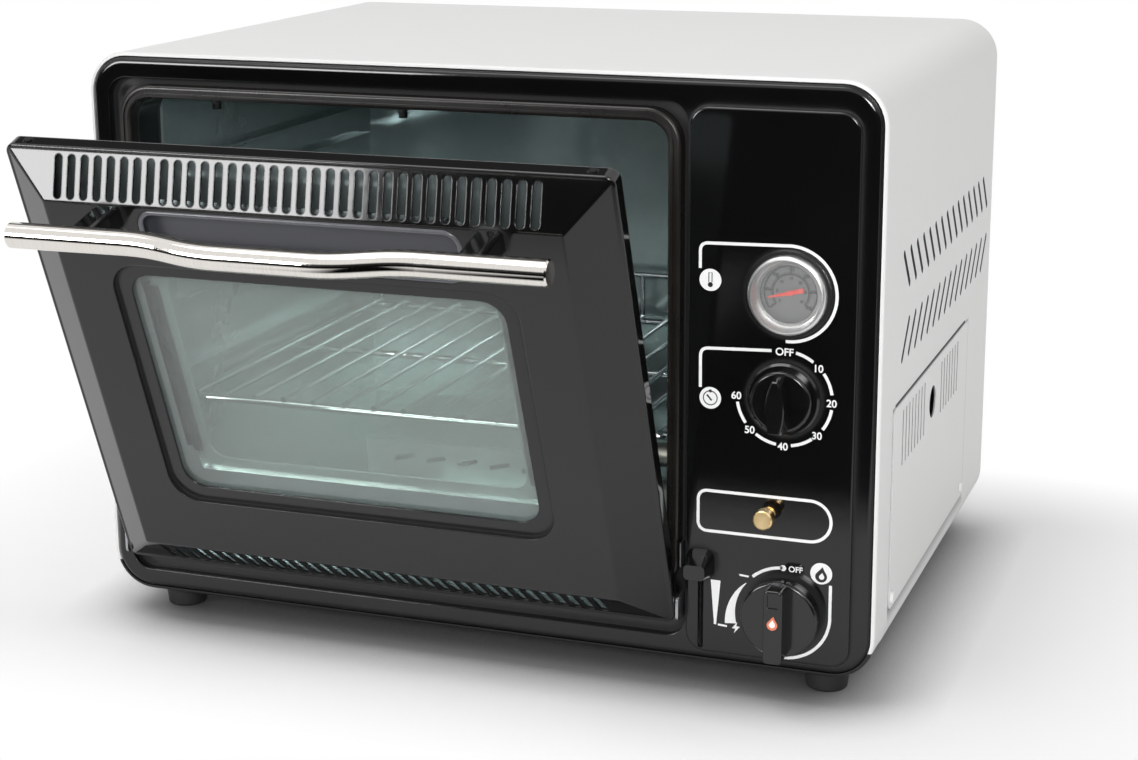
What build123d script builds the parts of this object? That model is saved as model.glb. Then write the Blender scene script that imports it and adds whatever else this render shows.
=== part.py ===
from build123d import *

import math
import os

# Portable gas camp oven: sheet-steel casing on four rubber feet, enamelled front with a control
# panel on the right, and a drop-down glazed door hinged along its lower edge.
#
# X runs to the right seen from the front, Y to the rear and Z up, in millimetres. The oven is
# set out from the inside: the cavity's size and the laps, gaps and margins round it add up to
# the door, the front panel and the casing. The front panel's face is at y = 0, its middle at
# x = 0, and the table at z = 0. The whole oven is moved back at the end, so that the origin
# lies under the middle of the object with its door ajar.

# ---------------------------------------------------------------- driving dimensions
# Cavity: the usable oven space, and the folded liner round it.
cavity_w = 324.0
cavity_h = 253.5
cavity_depth = 288.5
cavity_front = 31.5
liner_sheet = 0.8
liner_flange = 8.0
flue_count = 7
flue_pitch = 30.0
flue_l = 20.0
flue_w = 4.0
flue_down = 14.0
support_w = 30.0
support_sheet = 1.0
support_side = 20.0
support_front = 38.5
support_rear = 20.0

# Collar of the cavity's mouth.
mouth_step = 1.8
mouth_corner = 12.0
throat_sheet = 1.0
throat_flange = 9.0
stud_r = 2.6
stud_l = 7.5
stud_in = 43.2
stud_spread = 118.9
stud_back = 20.0

# Insulation jacket.
wool = 12.0
wool_gap = 0.3
wool_up = 30.0
rear_gap = 4.9

# Door seal: a double-lipped silicone bead round the mouth.
seal_lap = 0.2
seal_w = 7.5
seal_corner = 20.0
seal_gap = 0.3
seal_groove = 1.6

# Door, given as it stands when shut: how far its face laps over the mouth on each side.
door_lap_left = 9.2
door_lap_right = 6.2
door_lap_low = 18.2
door_lap_high = 7.7
door_front_out = 11.5
door_bulge = 14.5
door_bevel = 23.3
door_sheet = 1.2
rim_lip = 2.3
rim_depth = 9.0
rim_corner = 6.0
face_corner = 3.0
inner_sheet = 1.0
inner_flange = 6.0
door_gap = 0.2
door_open_angle = 21.3

# Hinges and catches.
hinge_up = 4.0
hinge_in = 3.5
hinge_pin_r = 2.5
hinge_pin_l = 12.0
pin_clearance = 0.05
inner_clearance = 0.5
bracket_sheet = 1.5
bracket_gap = 0.5
bracket_front = 5.0
bracket_low = 6.0
bracket_high = 8.0
bracket_corner = 3.0
catch_gap = 0.9
catch_sheet = 0.8
catch_up = 28.0
catch_h = 14.0
catch_front = 5.0

# Recess in the front panel round the door, and the front panel's own margins.
gap_left = 3.7
gap_right = 2.7
gap_low = 12.7
gap_high = 1.7
recess_depth = 6.0
recess_corner = 12.0
frame_side = 11.0
frame_low = 11.0
frame_high = 12.0
front_corner = 22.0
front_edge = 4.0
front_skirt = 14.0
enamel_sheet = 1.2

# Vent slots along the door's upper and lower bevels.
vent_count = 35
vent_margin = 35.0
vent_shift = -3.0
vent_w = 4.6
vent_l = 24.0

# Window: its margins on the door face, its sunk border and its panes.
window_left = 60.75
window_right = 62.75
window_under = 68.7
window_over = 68.7
window_corner = 14.0
window_border = 9.0
border_over = 8.0
border_corner = 18.0
window_sink = 3.0
glass_t = 4.0
glass_lap = 8.0
glass_corner = 6.0
gasket_t = 1.3
gasket_w = 7.0
gasket_corner = 16.0
inner_window_side = 11.75
inner_window_low = 10.3
inner_window_high = 9.3
inner_window_corner = 10.0
inner_glass_corner = 3.0
clip_foot = 7.6
clip_cap = 5.0
clip_gap = 0.4
clip_t = 1.0
clip_inset = 6.0

# Finger pocket and handle.
pocket_down = 25.0
pocket_h = 32.0
pocket_clear = 8.5
pocket_depth = 9.0
pocket_corner = 10.0
handle_r = 7.0
handle_inset = 20.0
handle_down = 26.5
handle_out = 44.0
handle_bow = 7.5
handle_bend_r = 110.0
handle_chamfer = 0.8
bow_start = 38.0
bow_end = 72.0
post_inset = 42.5
post_w = 15.0
post_h = 14.0
post_taper = 1.5
post_corner = 3.0
post_drop = 3.5
post_gap = 0.05
rim_screw_inset = 10.5
rim_screw_r = 2.4
rim_screw_t = 0.7
rim_screw_back = 5.1

# Casing: one sheet wrapped round the front panel, closed behind by a screwed-on panel.
case_lip = 2.3
case_sheet = 1.0
case_set_back = 1.6
hem_depth = 6.5
hem_gap = 0.2
rear_flange = 10.0
rear_sheet = 1.0
rear_inset = 1.5
rear_screw_in = 60.0
rear_slot_rows = 4
rear_slot_columns = 6
rear_slot_l = 40.0
rear_slot_w = 4.0
rear_slot_across = 60.0
rear_slot_apart = 14.0
rear_slot_down = 60.0

# Feet.
foot_height = 16.7
foot_top_r = 13.5
foot_base_r = 11.5
foot_inset = 30.0
foot_front = 30.0
foot_rear_inset = 30.0
foot_pad = 1.6
foot_hollow_r = 5.0
foot_hollow = 8.35

# Side louvres.
louvre_count = 15
louvre_first = 60.0
louvre_last = 28.0
louvre_l = 30.0
louvre_w = 4.2
louvre_lean = 41.0
louvre_stagger = 2.0
louvre_upper = 217.7
louvre_lower = 177.3

# Access panel on the right side, hooked into a slot above and screwed below.
access_front = 34.0
access_l = 225.0
access_low = 28.0
access_h = 116.0
access_corner = 4.0
access_lap = 9.0
access_sheet = 1.0
access_slot = 1.3
access_hook = 4.0
access_hook_in = 6.0
access_hook_gap = 0.2
access_screw_in = 6.0
groove_w = 3.2
groove_l = 32.0
groove_deep = 0.4
groove_pitch = 8.8
groove_down = 6.0
groove_front_in = 24.0
groove_rear_in = 138.0
groove_front_count = 8
groove_rear_count = 7
hose_hole_r = 9.7
hose_hole_in = 111.0
hose_hole_up = 92.0

# Control panel, and how far each control stands from its left and lower edges.
panel_gap = 1.0
panel_w = 93.0
panel_low = 5.0
panel_down = 14.0
panel_corner = 11.0
panel_raise = 2.5
panel_edge = 1.5
dial_in = 56.0
dial_up = 208.0
timer_in = 54.5
timer_up = 150.5
gas_in = 56.2
gas_up = 28.5
button_in = 47.0
button_up = 85.0
slot_in = 8.7
slot_up = 2.0
slot_w = 3.0
slot_end_gap = 2.0
slider_travel = 45.0

# Thermometer.
collar_r = 24.0
collar_out = 1.2
collar_edge = 0.8
collar_gap = 0.1
bezel_r = 21.5
bezel_out = 7.0
bezel_round = 2.2
bezel_wall = 2.4
bezel_slope = 16.0
bezel_foot = 1.2
bezel_seat = 0.6
dial_case_r = 18.0
dial_case_l = 14.0
dial_case_sheet = 0.8
dial_hole_gap = 0.3
dial_rim = 2.2
rebate_gap = 0.1
lens_t = 1.2
lens_gap = 0.1
dial_t = 0.6
dial_sunk = 3.2
needle_sunk = 1.6
needle_tip = 12.5
needle_tail = 7.5
needle_lean = 14.0
needle_tip_half = 0.35
needle_mid_half = 1.1
needle_tail_half = 1.3
needle_t = 0.5
needle_hub_step = 0.4
arbor_behind = 1.8
needle_hub_r = 1.5
arbor_r = 0.6
arbor_gap = 0.05
capillary_r = 2.0
capillary_out = 40.0
capillary_bend = 10.0

# Knobs, buttons and spindles.
spindle_r = 3.0
spindle_clearance = 0.05
spindle_hole_r = 5.0
grip_solid = 6.0
timer_skirt_r = 20.0
timer_skirt_t = 3.0
timer_skirt_edge = 1.2
timer_body_r = 17.0
timer_body_t = 6.0
timer_body_edge = 2.0
timer_grip_end = 2.4
timer_grip_mid = 6.8
timer_grip_heel = 4.2
timer_grip_out = 12.0
timer_grip_taper = 7.0
timer_grip_edge = 0.6
timer_standoff = 0.8
gas_disc_r = 21.5
gas_disc_t = 8.5
gas_disc_edge = 1.6
gas_grip_w = 10.5
gas_grip_l = 42.0
gas_grip_out = 12.5
gas_grip_corner = 2.4
gas_grip_edge = 1.2
gas_pointer_w = 6.0
gas_pointer_l = 7.5
gas_pointer_in = 2.5
gas_pointer_deep = 0.8
gas_push = 3.0
push_clearance = 0.5
button_head_r = 5.4
button_head_t = 7.0
button_edge = 0.7
button_out = 14.0
button_stem_r = 2.5
button_hole_gap = 1.2
slider_top_w = 16.0
slider_top_h = 17.0
slider_tip_w = 12.0
slider_tip_h = 8.5
slider_out = 13.0
slider_droop = 1.5
slider_gap = 0.4
slider_stem_h = 6.0
slider_stem_gap = 0.3
damper_y = 4.5
damper_t = 1.0
damper_left = 5.0
damper_right = 12.0
damper_low = 10.0
damper_high = 30.0

# Gas train behind the panel.
tap_half = 16.0
tap_front = 6.0
tap_l = 38.0
tap_low = 10.0
tap_high = 22.0
tap_neck_r = 11.0
clock_half = 23.0
clock_high = 22.0
clock_front = 1.6
clock_l = 32.4
clock_corner = 3.0
clock_neck_r = 12.0
safety_r = 11.0
safety_front = 3.0
safety_l = 43.0
safety_neck_r = 8.0
safety_out_r = 4.5
safety_out_up = 13.0
safety_out_back = 20.0
spindle_in = 22.0
tap_spindle_in = 28.0
stem_in = 18.0
bore_more = 6.0
piezo_r = 9.0
piezo_l = 26.0
piezo_up = 6.0
piezo_tip_r = 4.0
piezo_tip_l = 6.0
pipe_r = 3.0
pipe_bend = 10.0
pipe_small_bend = 7.0
pipe_jet_bend = 8.0
inlet_run = 46.0
inlet_turn = 24.0
valve_side = 14.0
valve_run = 22.0
valve_turn = 26.0
valve_over = 18.0
jet_side = 8.0
jet_drop = 4.0
jet_turn = 26.0
hose_tail_r = 4.75
hose_tail_l = 30.0
inlet_flange_r = 12.0
inlet_flange_t = 4.0
inlet_stem_r = 7.0
inlet_tip_gap = 9.0
union_r = 5.0
union_l = 11.0
union_in = 16.0
shield_gap = 4.0
shield_sheet = 1.0
shield_foot = 14.0
shield_front = 8.0
shield_hole_gap = 3.0

# Rack and rails.
rail_up = 66.7
rail_pitch = 63.15
rail_count = 3
rail_h = 19.0
rail_out = 8.0
rail_sheet = 1.0
rail_inset = 8.5
rail_short = 18.0
rack_wire_r = 2.25
rack_rod_r = 1.75
rack_rods = 16
rack_guard_every = 5
rack_corner = 14.0
rack_side_gap = 4.0
rack_margin = 7.25
rack_inset = 6.5
rack_short = 14.0
rack_upstand = 30.0

# Burner and its cover on the cavity floor.
burner_r = 8.0
burner_wall = 1.0
burner_back = 9.25
burner_up = 12.0
burner_in = 99.0
burner_stub = 17.0
burner_hole_gap = 0.3
port_count = 9
port_pitch = 14.0
port_first = 12.0
port_l = 6.0
port_w = 2.0
cover_lap = 16.0
cover_w = 158.0
cover_half = 55.0
cover_h = 24.0
cover_sheet = 1.0
cover_tunnel_gap = 1.0
cover_slot_pitch = 10.0
cover_slot_first = 14.0
cover_slot_w = 4.0
cover_slot_l = 3.0
cover_slot_in = 5.0
cover_side_pitch = 22.0
cover_side_first = 26.0
cover_side_count = 6
cover_side_l = 14.0
cover_side_w = 3.0
cover_side_up = 13.0
cover_side_lean = 75.0
strap_in = 44.0
strap_t = 1.5
strap_front = 20.0
strap_back = 30.0
strap_over = 4.0
strap_foot = 12.0
strap_gap = 0.05
electrode_r = 3.0
electrode_l = 22.0
electrode_tip_r = 1.0
electrode_tip_l = 8.0
electrode_back = 20.0
electrode_up = 8.0
sensor_r = 2.5
sensor_l = 26.0
sensor_tip_r = 1.5
sensor_tip_l = 8.0
sensor_front = 14.0
sensor_up = 9.0
jet_off = 12.0
jet_stand_t = 2.0
jet_stand_half = 14.0
jet_stand_over = 12.0
jet_stand_foot = 16.0
jet_r = 5.0
jet_l = 12.0
jet_tip_r = 2.5
jet_tip_l = 18.0

# Screws.
screw_head_r = 3.6
screw_head_t = 1.6

# How far a cut runs past the face that it opens.
past = 1.0

# The origin lies this far behind the front panel's face.
origin_back = 92.0

# ---------------------------------------------------------------- sizes that follow
# Across, from the left edge of the front panel to its right edge.
recess_w = (gap_left + rim_lip + door_lap_left + mouth_step + cavity_w
            + mouth_step + door_lap_right + rim_lip + gap_right)
front_w = frame_side + recess_w + panel_gap + panel_w + frame_side
recess_left = -front_w / 2 + frame_side
recess_right = recess_left + recess_w
door_left = recess_left + gap_left + rim_lip
mouth_left = door_left + door_lap_left
cavity_left = mouth_left + mouth_step
cavity_right = cavity_left + cavity_w
cavity_mid = (cavity_left + cavity_right) / 2
mouth_right = cavity_right + mouth_step
door_right = mouth_right + door_lap_right
door_w = door_right - door_left
door_mid = (door_left + door_right) / 2
panel_left = recess_right + panel_gap
panel_right = panel_left + panel_w
case_half = front_w / 2 + case_lip
shield_x = recess_right + shield_gap

# Upward, from the table to the top of the casing.
front_z = foot_height + case_lip
recess_low = front_z + frame_low
door_low = recess_low + gap_low + rim_lip
mouth_low = door_low + door_lap_low
liner_low = mouth_low + mouth_step
liner_high = liner_low + cavity_h
mouth_high = liner_high + mouth_step
door_high = mouth_high + door_lap_high
door_h = door_high - door_low
recess_high = door_high + rim_lip + gap_high
front_top = recess_high + frame_high
case_low = front_z - case_lip
case_high = front_top + case_lip
panel_bottom = front_z + panel_low
panel_top = front_top - panel_down

# Backward, from the door's rim to the rear panel.
door_back_y = rim_depth - door_front_out
hinge_y = door_back_y - hinge_in
axis_z = door_low + hinge_up
recess_back = recess_depth + enamel_sheet
panel_back = enamel_sheet - panel_raise
cavity_back = cavity_front + cavity_depth
wool_back = cavity_back + liner_sheet + wool_gap + wool
case_depth = wool_back + rear_gap + case_sheet + rear_sheet
hem_sheet = case_lip - hem_gap

# Window, vents, pocket and handle on the door.
window_x0 = door_left + window_left
window_x1 = door_right - window_right
window_z0 = door_low + window_under
window_z1 = door_high - window_over
inner_x0 = window_x0 + inner_window_side
inner_x1 = window_x1 - inner_window_side
inner_z0 = window_z0 + inner_window_low
inner_z1 = window_z1 - inner_window_high
vent_pitch = (door_w - 2 * vent_margin) / (vent_count - 1)
handle_half = door_w / 2 - handle_inset
handle_z = door_high - handle_down
post_spread = handle_half - post_inset
pocket_half = post_spread - post_w / 2 - pocket_clear

# Centres of the controls.
dial_x = panel_left + dial_in
dial_z = panel_bottom + dial_up
timer_x = panel_left + timer_in
timer_z = panel_bottom + timer_up
gas_x = panel_left + gas_in
gas_z = panel_bottom + gas_up
button_x = panel_left + button_in
button_z = panel_bottom + button_up
slot_x = panel_left + slot_in
slot_z0 = panel_bottom + slot_up
slot_z1 = slot_z0 + slider_travel + slider_stem_h + 2 * slot_end_gap
slider_z = slot_z1 - slot_end_gap - slider_stem_h / 2
gas_standoff = gas_push + push_clearance

# Side wall.
louvre_pitch = (case_depth - louvre_first - louvre_last) / (louvre_count - 1)
access_rear = access_front + access_l
access_z0 = front_z + access_low
access_z1 = access_z0 + access_h
hose_y = access_front + hose_hole_in
hose_z = access_z0 + hose_hole_up

# Rack, rails and burner in the cavity.
rail_front = cavity_front + rail_inset
rail_back = cavity_back - rail_short
rack_front = cavity_front + rack_inset
rack_back = cavity_back - rack_short
burner_y = (cavity_front + cavity_back) / 2 + burner_back
burner_z = liner_low + burner_up
burner_left = cavity_left + burner_in
burner_mouth_x = shield_x + shield_sheet + burner_stub
cover_left = burner_left - cover_lap
cover_right = cover_left + cover_w
stand_x = burner_mouth_x + jet_off

pieces = {}


# ---------------------------------------------------------------- small helpers
def block(x0, x1, y0, y1, z0, z1):
    """A rectangular block between two corners."""
    size = (x1 - x0, y1 - y0, z1 - z0)
    return Pos((x0 + x1) / 2, (y0 + y1) / 2, (z0 + z1) / 2) * Box(*size)


def facing_front(x, y, z):
    """A plane across the oven at y that looks forward, with its x to the right."""
    return Plane(origin=(x, y, z), x_dir=(1, 0, 0), z_dir=(0, -1, 0))


def slab(x0, x1, z0, z1, y0, y1, r):
    """A plate facing the front, with rounded corners, from y0 back to y1."""
    facing = facing_front((x0 + x1) / 2, y1, (z0 + z1) / 2)
    return extrude(facing * RectangleRounded(x1 - x0, z1 - z0, r), amount=y1 - y0)


def ring(x0, x1, z0, z1, y0, y1, r, wall):
    """A rounded rectangular frame, `wall` wide, from y0 back to y1."""
    inner = slab(x0 + wall, x1 - wall, z0 + wall, z1 - wall, y0 - past, y1 + past, r - wall)
    return slab(x0, x1, z0, z1, y0, y1, r) - inner


def rod_x(r, x0, x1, y, z):
    """A round bar along X."""
    return Pos((x0 + x1) / 2, y, z) * Rot(0, 90, 0) * Cylinder(r, x1 - x0)


def rod_y(r, y0, y1, x, z):
    """A round bar along Y."""
    return Pos(x, (y0 + y1) / 2, z) * Rot(90, 0, 0) * Cylinder(r, y1 - y0)


def rod_z(r, z0, z1, x, y):
    """A round bar along Z."""
    return Pos(x, y, (z0 + z1) / 2) * Cylinder(r, z1 - z0)


def front_edges(solid):
    """The edges of a solid's foremost face."""
    return solid.faces().sort_by(Axis.Y)[0].edges()


def pan_head(x, y, z, toward):
    """A screw head resting on a surface: `toward` is the way that it faces."""
    seat = Plane(origin=(x, y, z), z_dir=toward)
    head = extrude(seat * Circle(screw_head_r), amount=screw_head_t)
    top = head.faces().sort_by(Axis((0, 0, 0), toward))[-1]
    return fillet(top.edges(), screw_head_t * 0.6)


def tube_path(points, r, bend):
    """A round bar along straight runs joined by arcs."""
    path = FilletPolyline(*points, radius=bend)
    start = Plane(origin=path @ 0, z_dir=path % 0)
    return sweep(start * Circle(r), path=path)


def keep(name, solid, on_door=False):
    """Turn a door piece to the angle at which the door stands, and move it to the origin."""
    if on_door:
        solid = solid.rotate(Axis((0, hinge_y, axis_z), (1, 0, 0)), door_open_angle)
    pieces[name] = Pos(0, -origin_back, 0) * solid


# ---------------------------------------------------------------- casing
def side_slot(side, y, z, lean):
    """One slanted ventilation slot through a side wall; its top leans forward by `lean`."""
    run = (0, -math.sin(math.radians(lean)), math.cos(math.radians(lean)))
    facing = Plane(origin=(side * case_half, y, z), x_dir=run, z_dir=(1, 0, 0))
    return extrude(facing * SlotOverall(louvre_l, louvre_w), amount=case_sheet + past, both=True)


def access_opening():
    """Hole behind the access panel, and the slot above it that the panel hooks into."""
    x0 = case_half - case_sheet - past
    x1 = case_half + past
    room = block(x0, x1, access_front + access_lap, access_rear - access_lap,
                 access_z0 + access_lap, access_z1 - access_lap)
    slot = block(x0, x1, access_front + access_hook_in - access_hook_gap,
                 access_rear - access_hook_in + access_hook_gap,
                 access_z1 - access_sheet - access_hook_gap, access_z1 + access_slot)
    return [room, slot]


def casing_wrap():
    """Top, sides and bottom in one wrapped sheet, hemmed in front and flanged behind."""
    radius = front_corner + case_lip
    back = case_depth - rear_sheet
    shell = ring(-case_half, case_half, case_low, case_high, case_set_back, back, radius, case_sheet)
    hem = ring(-case_half, case_half, case_low, case_high, case_set_back,
               case_set_back + hem_depth, radius, hem_sheet)
    hem_edges = hem.faces().sort_by(Axis.Y)[0].outer_wire().edges()
    hem = fillet(hem_edges, hem_sheet * 0.85)
    flange = ring(-case_half, case_half, case_low, case_high, back - case_sheet, back,
                  radius, rear_flange)
    front_cut = slab(-case_half - past, case_half + past, case_low - past, case_high + past,
                     case_set_back - past, case_set_back + hem_depth / 2, radius)
    wrap = (shell - front_cut) + hem + flange
    cutters = access_opening()
    for side in (-1, 1):
        for k in range(louvre_count):
            y = louvre_first + k * louvre_pitch
            cutters.append(side_slot(side, y, front_z + louvre_upper, louvre_lean))
            cutters.append(side_slot(side, y + louvre_stagger, front_z + louvre_lower, -louvre_lean))
    return wrap - cutters


def rear_panel():
    """Flat back with a bank of ventilation slots."""
    plate = slab(-case_half + rear_inset, case_half - rear_inset, case_low + rear_inset,
                 case_high - rear_inset, case_depth - rear_sheet, case_depth, front_corner)
    slots = []
    first = -rear_slot_across * (rear_slot_columns - 1) / 2
    for row in range(rear_slot_rows):
        z = case_high - rear_slot_down - row * rear_slot_apart
        for column in range(rear_slot_columns):
            x = first + column * rear_slot_across
            slots.append(slab(x - rear_slot_l / 2, x + rear_slot_l / 2, z - rear_slot_w / 2,
                              z + rear_slot_w / 2, case_depth - rear_sheet - past,
                              case_depth + past, rear_slot_w * 0.49))
    return plate - slots


def rear_screws():
    """Six screws that hold the rear panel to the casing's flange."""
    reach = case_half - rear_flange / 2
    heads = []
    for x in (-reach, reach):
        for z in (case_low + rear_screw_in, (case_low + case_high) / 2, case_high - rear_screw_in):
            heads.append(pan_head(x, case_depth, z, (0, 1, 0)))
    return heads


def access_grooves(first_in, count):
    """A bank of shallow upright grooves pressed into the access panel."""
    x1 = case_half + access_sheet
    top = access_z1 - groove_down
    grooves = []
    for k in range(count):
        y = access_front + first_in + k * groove_pitch
        grooves.append(block(x1 - groove_deep, x1 + past, y - groove_w / 2, y + groove_w / 2,
                             top - groove_l, top))
    return grooves


def access_panel():
    """Cover on the right side, hooked in above, with a hole for the gas hose."""
    x0 = case_half
    x1 = case_half + access_sheet
    plate = block(x0, x1, access_front, access_rear, access_z0, access_z1)
    plate = fillet(plate.edges().filter_by(Axis.X), access_corner)
    plate -= rod_x(hose_hole_r, x0 - past, x1 + past, hose_y, hose_z)
    plate -= access_grooves(groove_front_in, groove_front_count)
    plate -= access_grooves(groove_rear_in, groove_rear_count)
    hook = block(case_half - access_hook, x1, access_front + access_hook_in,
                 access_rear - access_hook_in, access_z1 - access_sheet, access_z1)
    return plate + hook


def access_screws():
    """Two screws through the lower corners of the access panel."""
    heads = []
    for y in (access_front + access_screw_in, access_rear - access_screw_in):
        heads.append(pan_head(case_half + access_sheet, y, access_z0 + access_screw_in, (1, 0, 0)))
    return heads


def foot(x, y):
    """Moulded rubber foot, tapered, with a hollow for its screw head."""
    cone = Pos(x, y, foot_height / 2) * Cone(foot_base_r, foot_top_r, foot_height)
    cone = fillet(cone.faces().sort_by(Axis.Z)[0].edges(), foot_pad)
    return cone - rod_z(foot_hollow_r, -past, foot_hollow, x, y)


def foot_screw(x, y):
    """Head of the screw that holds a foot, up in the foot's hollow."""
    return rod_z(screw_head_r, foot_hollow - screw_head_t, foot_hollow, x, y)


# ---------------------------------------------------------------- front panel
def front_shape():
    """Outside of the front panel: rounded edge, raised control panel, dial collar, recess."""
    half = front_w / 2
    outside = slab(-half, half, front_z, front_top, 0, front_skirt, front_corner)
    outside = fillet(front_edges(outside), front_edge)
    raised = slab(panel_left, panel_right, panel_bottom, panel_top, -panel_raise, enamel_sheet,
                  panel_corner)
    raised = fillet(front_edges(raised), panel_edge)
    collar = rod_y(collar_r, -panel_raise - collar_out, panel_back, dial_x, dial_z)
    collar = fillet(front_edges(collar), collar_edge)
    recess = slab(recess_left, recess_right, recess_low, recess_high, -past, recess_depth,
                  recess_corner)
    return outside + raised + collar - recess


def front_hollow():
    """Room behind the front panel's sheet."""
    t = enamel_sheet
    half = front_w / 2
    inside = slab(-half + t, half - t, front_z + t, front_top - t, t, front_skirt + past,
                  front_corner - t)
    inside += slab(panel_left + t, panel_right - t, panel_bottom + t, panel_top - t,
                   panel_back, 2 * t, panel_corner - t)
    return inside - slab(recess_left - t, recess_right + t, recess_low - t, recess_high + t,
                         -panel_raise, recess_back, recess_corner + t)


def front_fascia():
    """Pressed front: turned-back edge, sunk door recess and raised control panel."""
    y0 = -panel_raise - collar_out - past
    y1 = front_skirt
    mouth = slab(mouth_left, mouth_right, mouth_low, mouth_high, 0, recess_back + past,
                 mouth_corner)
    holes = [rod_y(dial_case_r + dial_hole_gap, y0, y1, dial_x, dial_z),
             rod_y(bezel_r + collar_gap, y0, -panel_raise, dial_x, dial_z),
             rod_y(spindle_hole_r, y0, y1, timer_x, timer_z),
             rod_y(spindle_hole_r, y0, y1, gas_x, gas_z),
             rod_y(button_stem_r + button_hole_gap, y0, y1, button_x, button_z),
             slab(slot_x - slot_w / 2, slot_x + slot_w / 2, slot_z0, slot_z1, y0, y1,
                  slot_w * 0.49)]
    return front_shape() - front_hollow() - mouth - holes


def cavity_throat():
    """Enamelled collar from the mouth back to the liner, flanged behind the recess floor."""
    y0 = recess_back
    t = throat_sheet
    collar = ring(mouth_left - t, mouth_right + t, mouth_low - t, mouth_high + t,
                  y0, cavity_front, mouth_corner + t, t)
    lip = ring(mouth_left - throat_flange, mouth_right + throat_flange,
               mouth_low - throat_flange, mouth_high + throat_flange,
               y0, y0 + t, mouth_corner + throat_flange, throat_flange)
    collar += lip
    for x in (cavity_left + stud_in, cavity_left + stud_in + stud_spread):
        collar += rod_z(stud_r, mouth_high - stud_l, mouth_high + t / 2, x, stud_back)
    return collar


def cavity_liner():
    """Folded galvanised box, open in front, with a hole for the burner tube."""
    t = liner_sheet
    outer = block(cavity_left - t, cavity_right + t, cavity_front, cavity_back + t,
                  liner_low - t, liner_high + t)
    lip = block(cavity_left - liner_flange, cavity_right + liner_flange, cavity_front,
                cavity_front + t, liner_low - liner_flange, liner_high + liner_flange)
    hollow = block(cavity_left, cavity_right, cavity_front - past, cavity_back,
                   liner_low, liner_high)
    box = outer + lip - hollow
    box -= rod_x(burner_r + burner_hole_gap, cavity_right - past, cavity_right + t + past,
                 burner_y, burner_z)
    flue = []
    first = cavity_mid - flue_pitch * (flue_count - 1) / 2
    top = liner_high - flue_down
    for k in range(flue_count):
        x = first + k * flue_pitch
        flue.append(block(x - flue_l / 2, x + flue_l / 2, cavity_back - past,
                          cavity_back + t + past, top - flue_w, top))
    return box - flue


def insulation_blanket():
    """Mineral-wool jacket over the top, both sides and the back of the liner."""
    g = liner_sheet + wool_gap
    y0 = cavity_front + g
    outer = block(cavity_left - g - wool, cavity_right + g + wool, y0, wool_back,
                  liner_low + wool_up, liner_high + g + wool)
    room = block(cavity_left - g, cavity_right + g, y0 - past, cavity_back + g,
                 liner_low, liner_high + g)
    return outer - room


def door_seal():
    """Silicone bead round the mouth: two rounded lips with a groove between them."""
    y0 = door_back_y + seal_gap
    reach = seal_lap + seal_w
    x0 = mouth_left - reach
    x1 = mouth_right + reach
    z0 = mouth_low - reach
    z1 = mouth_high + reach
    bead = ring(x0, x1, z0, z1, y0, recess_depth, seal_corner, seal_w)
    bead = fillet(front_edges(bead), seal_w * 0.27)
    inset = (seal_w - seal_groove) / 2
    groove = ring(x0 + inset, x1 - inset, z0 + inset, z1 - inset, y0 - past,
                  y0 + seal_groove / 2, seal_corner - inset, seal_groove)
    return bead - groove


def liner_supports():
    """Two folded channels that carry the liner on the casing's floor."""
    floor = case_low + case_sheet
    top = liner_low - liner_sheet
    t = support_sheet
    x0 = cavity_left + support_side
    x1 = cavity_right - support_side
    channels = []
    for y in (cavity_front + support_front, cavity_back - support_rear - support_w):
        channel = block(x0, x1, y, y + support_w, floor, top)
        channel -= block(x0 - past, x1 + past, y + t, y + support_w + past, floor + t, top - t)
        channels.append(channel)
    return Compound(channels)


def control_shield():
    """Upright heat shield between the cavity and the controls, with a foot flange."""
    floor = case_low + case_sheet
    y0 = recess_back + shield_front
    y1 = case_depth - rear_sheet - case_sheet
    wall = block(shield_x, shield_x + shield_sheet, y0, y1, floor, case_high - case_sheet)
    foot_flange = block(shield_x, shield_x + shield_foot, y0, y1, floor, floor + shield_sheet)
    pipe_hole = rod_x(burner_r + shield_hole_gap, shield_x - past, shield_x + shield_sheet + past,
                      burner_y, burner_z)
    return wall + foot_flange - pipe_hole


# ---------------------------------------------------------------- rack and rails
def rack_rail(side):
    """Three folded channels on one side wall, each open toward the cavity."""
    wall_x = cavity_mid + side * cavity_w / 2
    t = rail_sheet
    lo, hi = sorted((wall_x, wall_x - side * rail_out))
    cut_lo, cut_hi = sorted((wall_x - side * t, wall_x - side * (rail_out + past)))
    rails = []
    for k in range(rail_count):
        z = liner_low + rail_up + k * rail_pitch
        rail = block(lo, hi, rail_front, rail_back, z - t, z + rail_h + t)
        rail -= block(cut_lo, cut_hi, rail_front - past, rail_back + past, z, z + rail_h)
        rails.append(rail)
    return Compound(rails)


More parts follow.
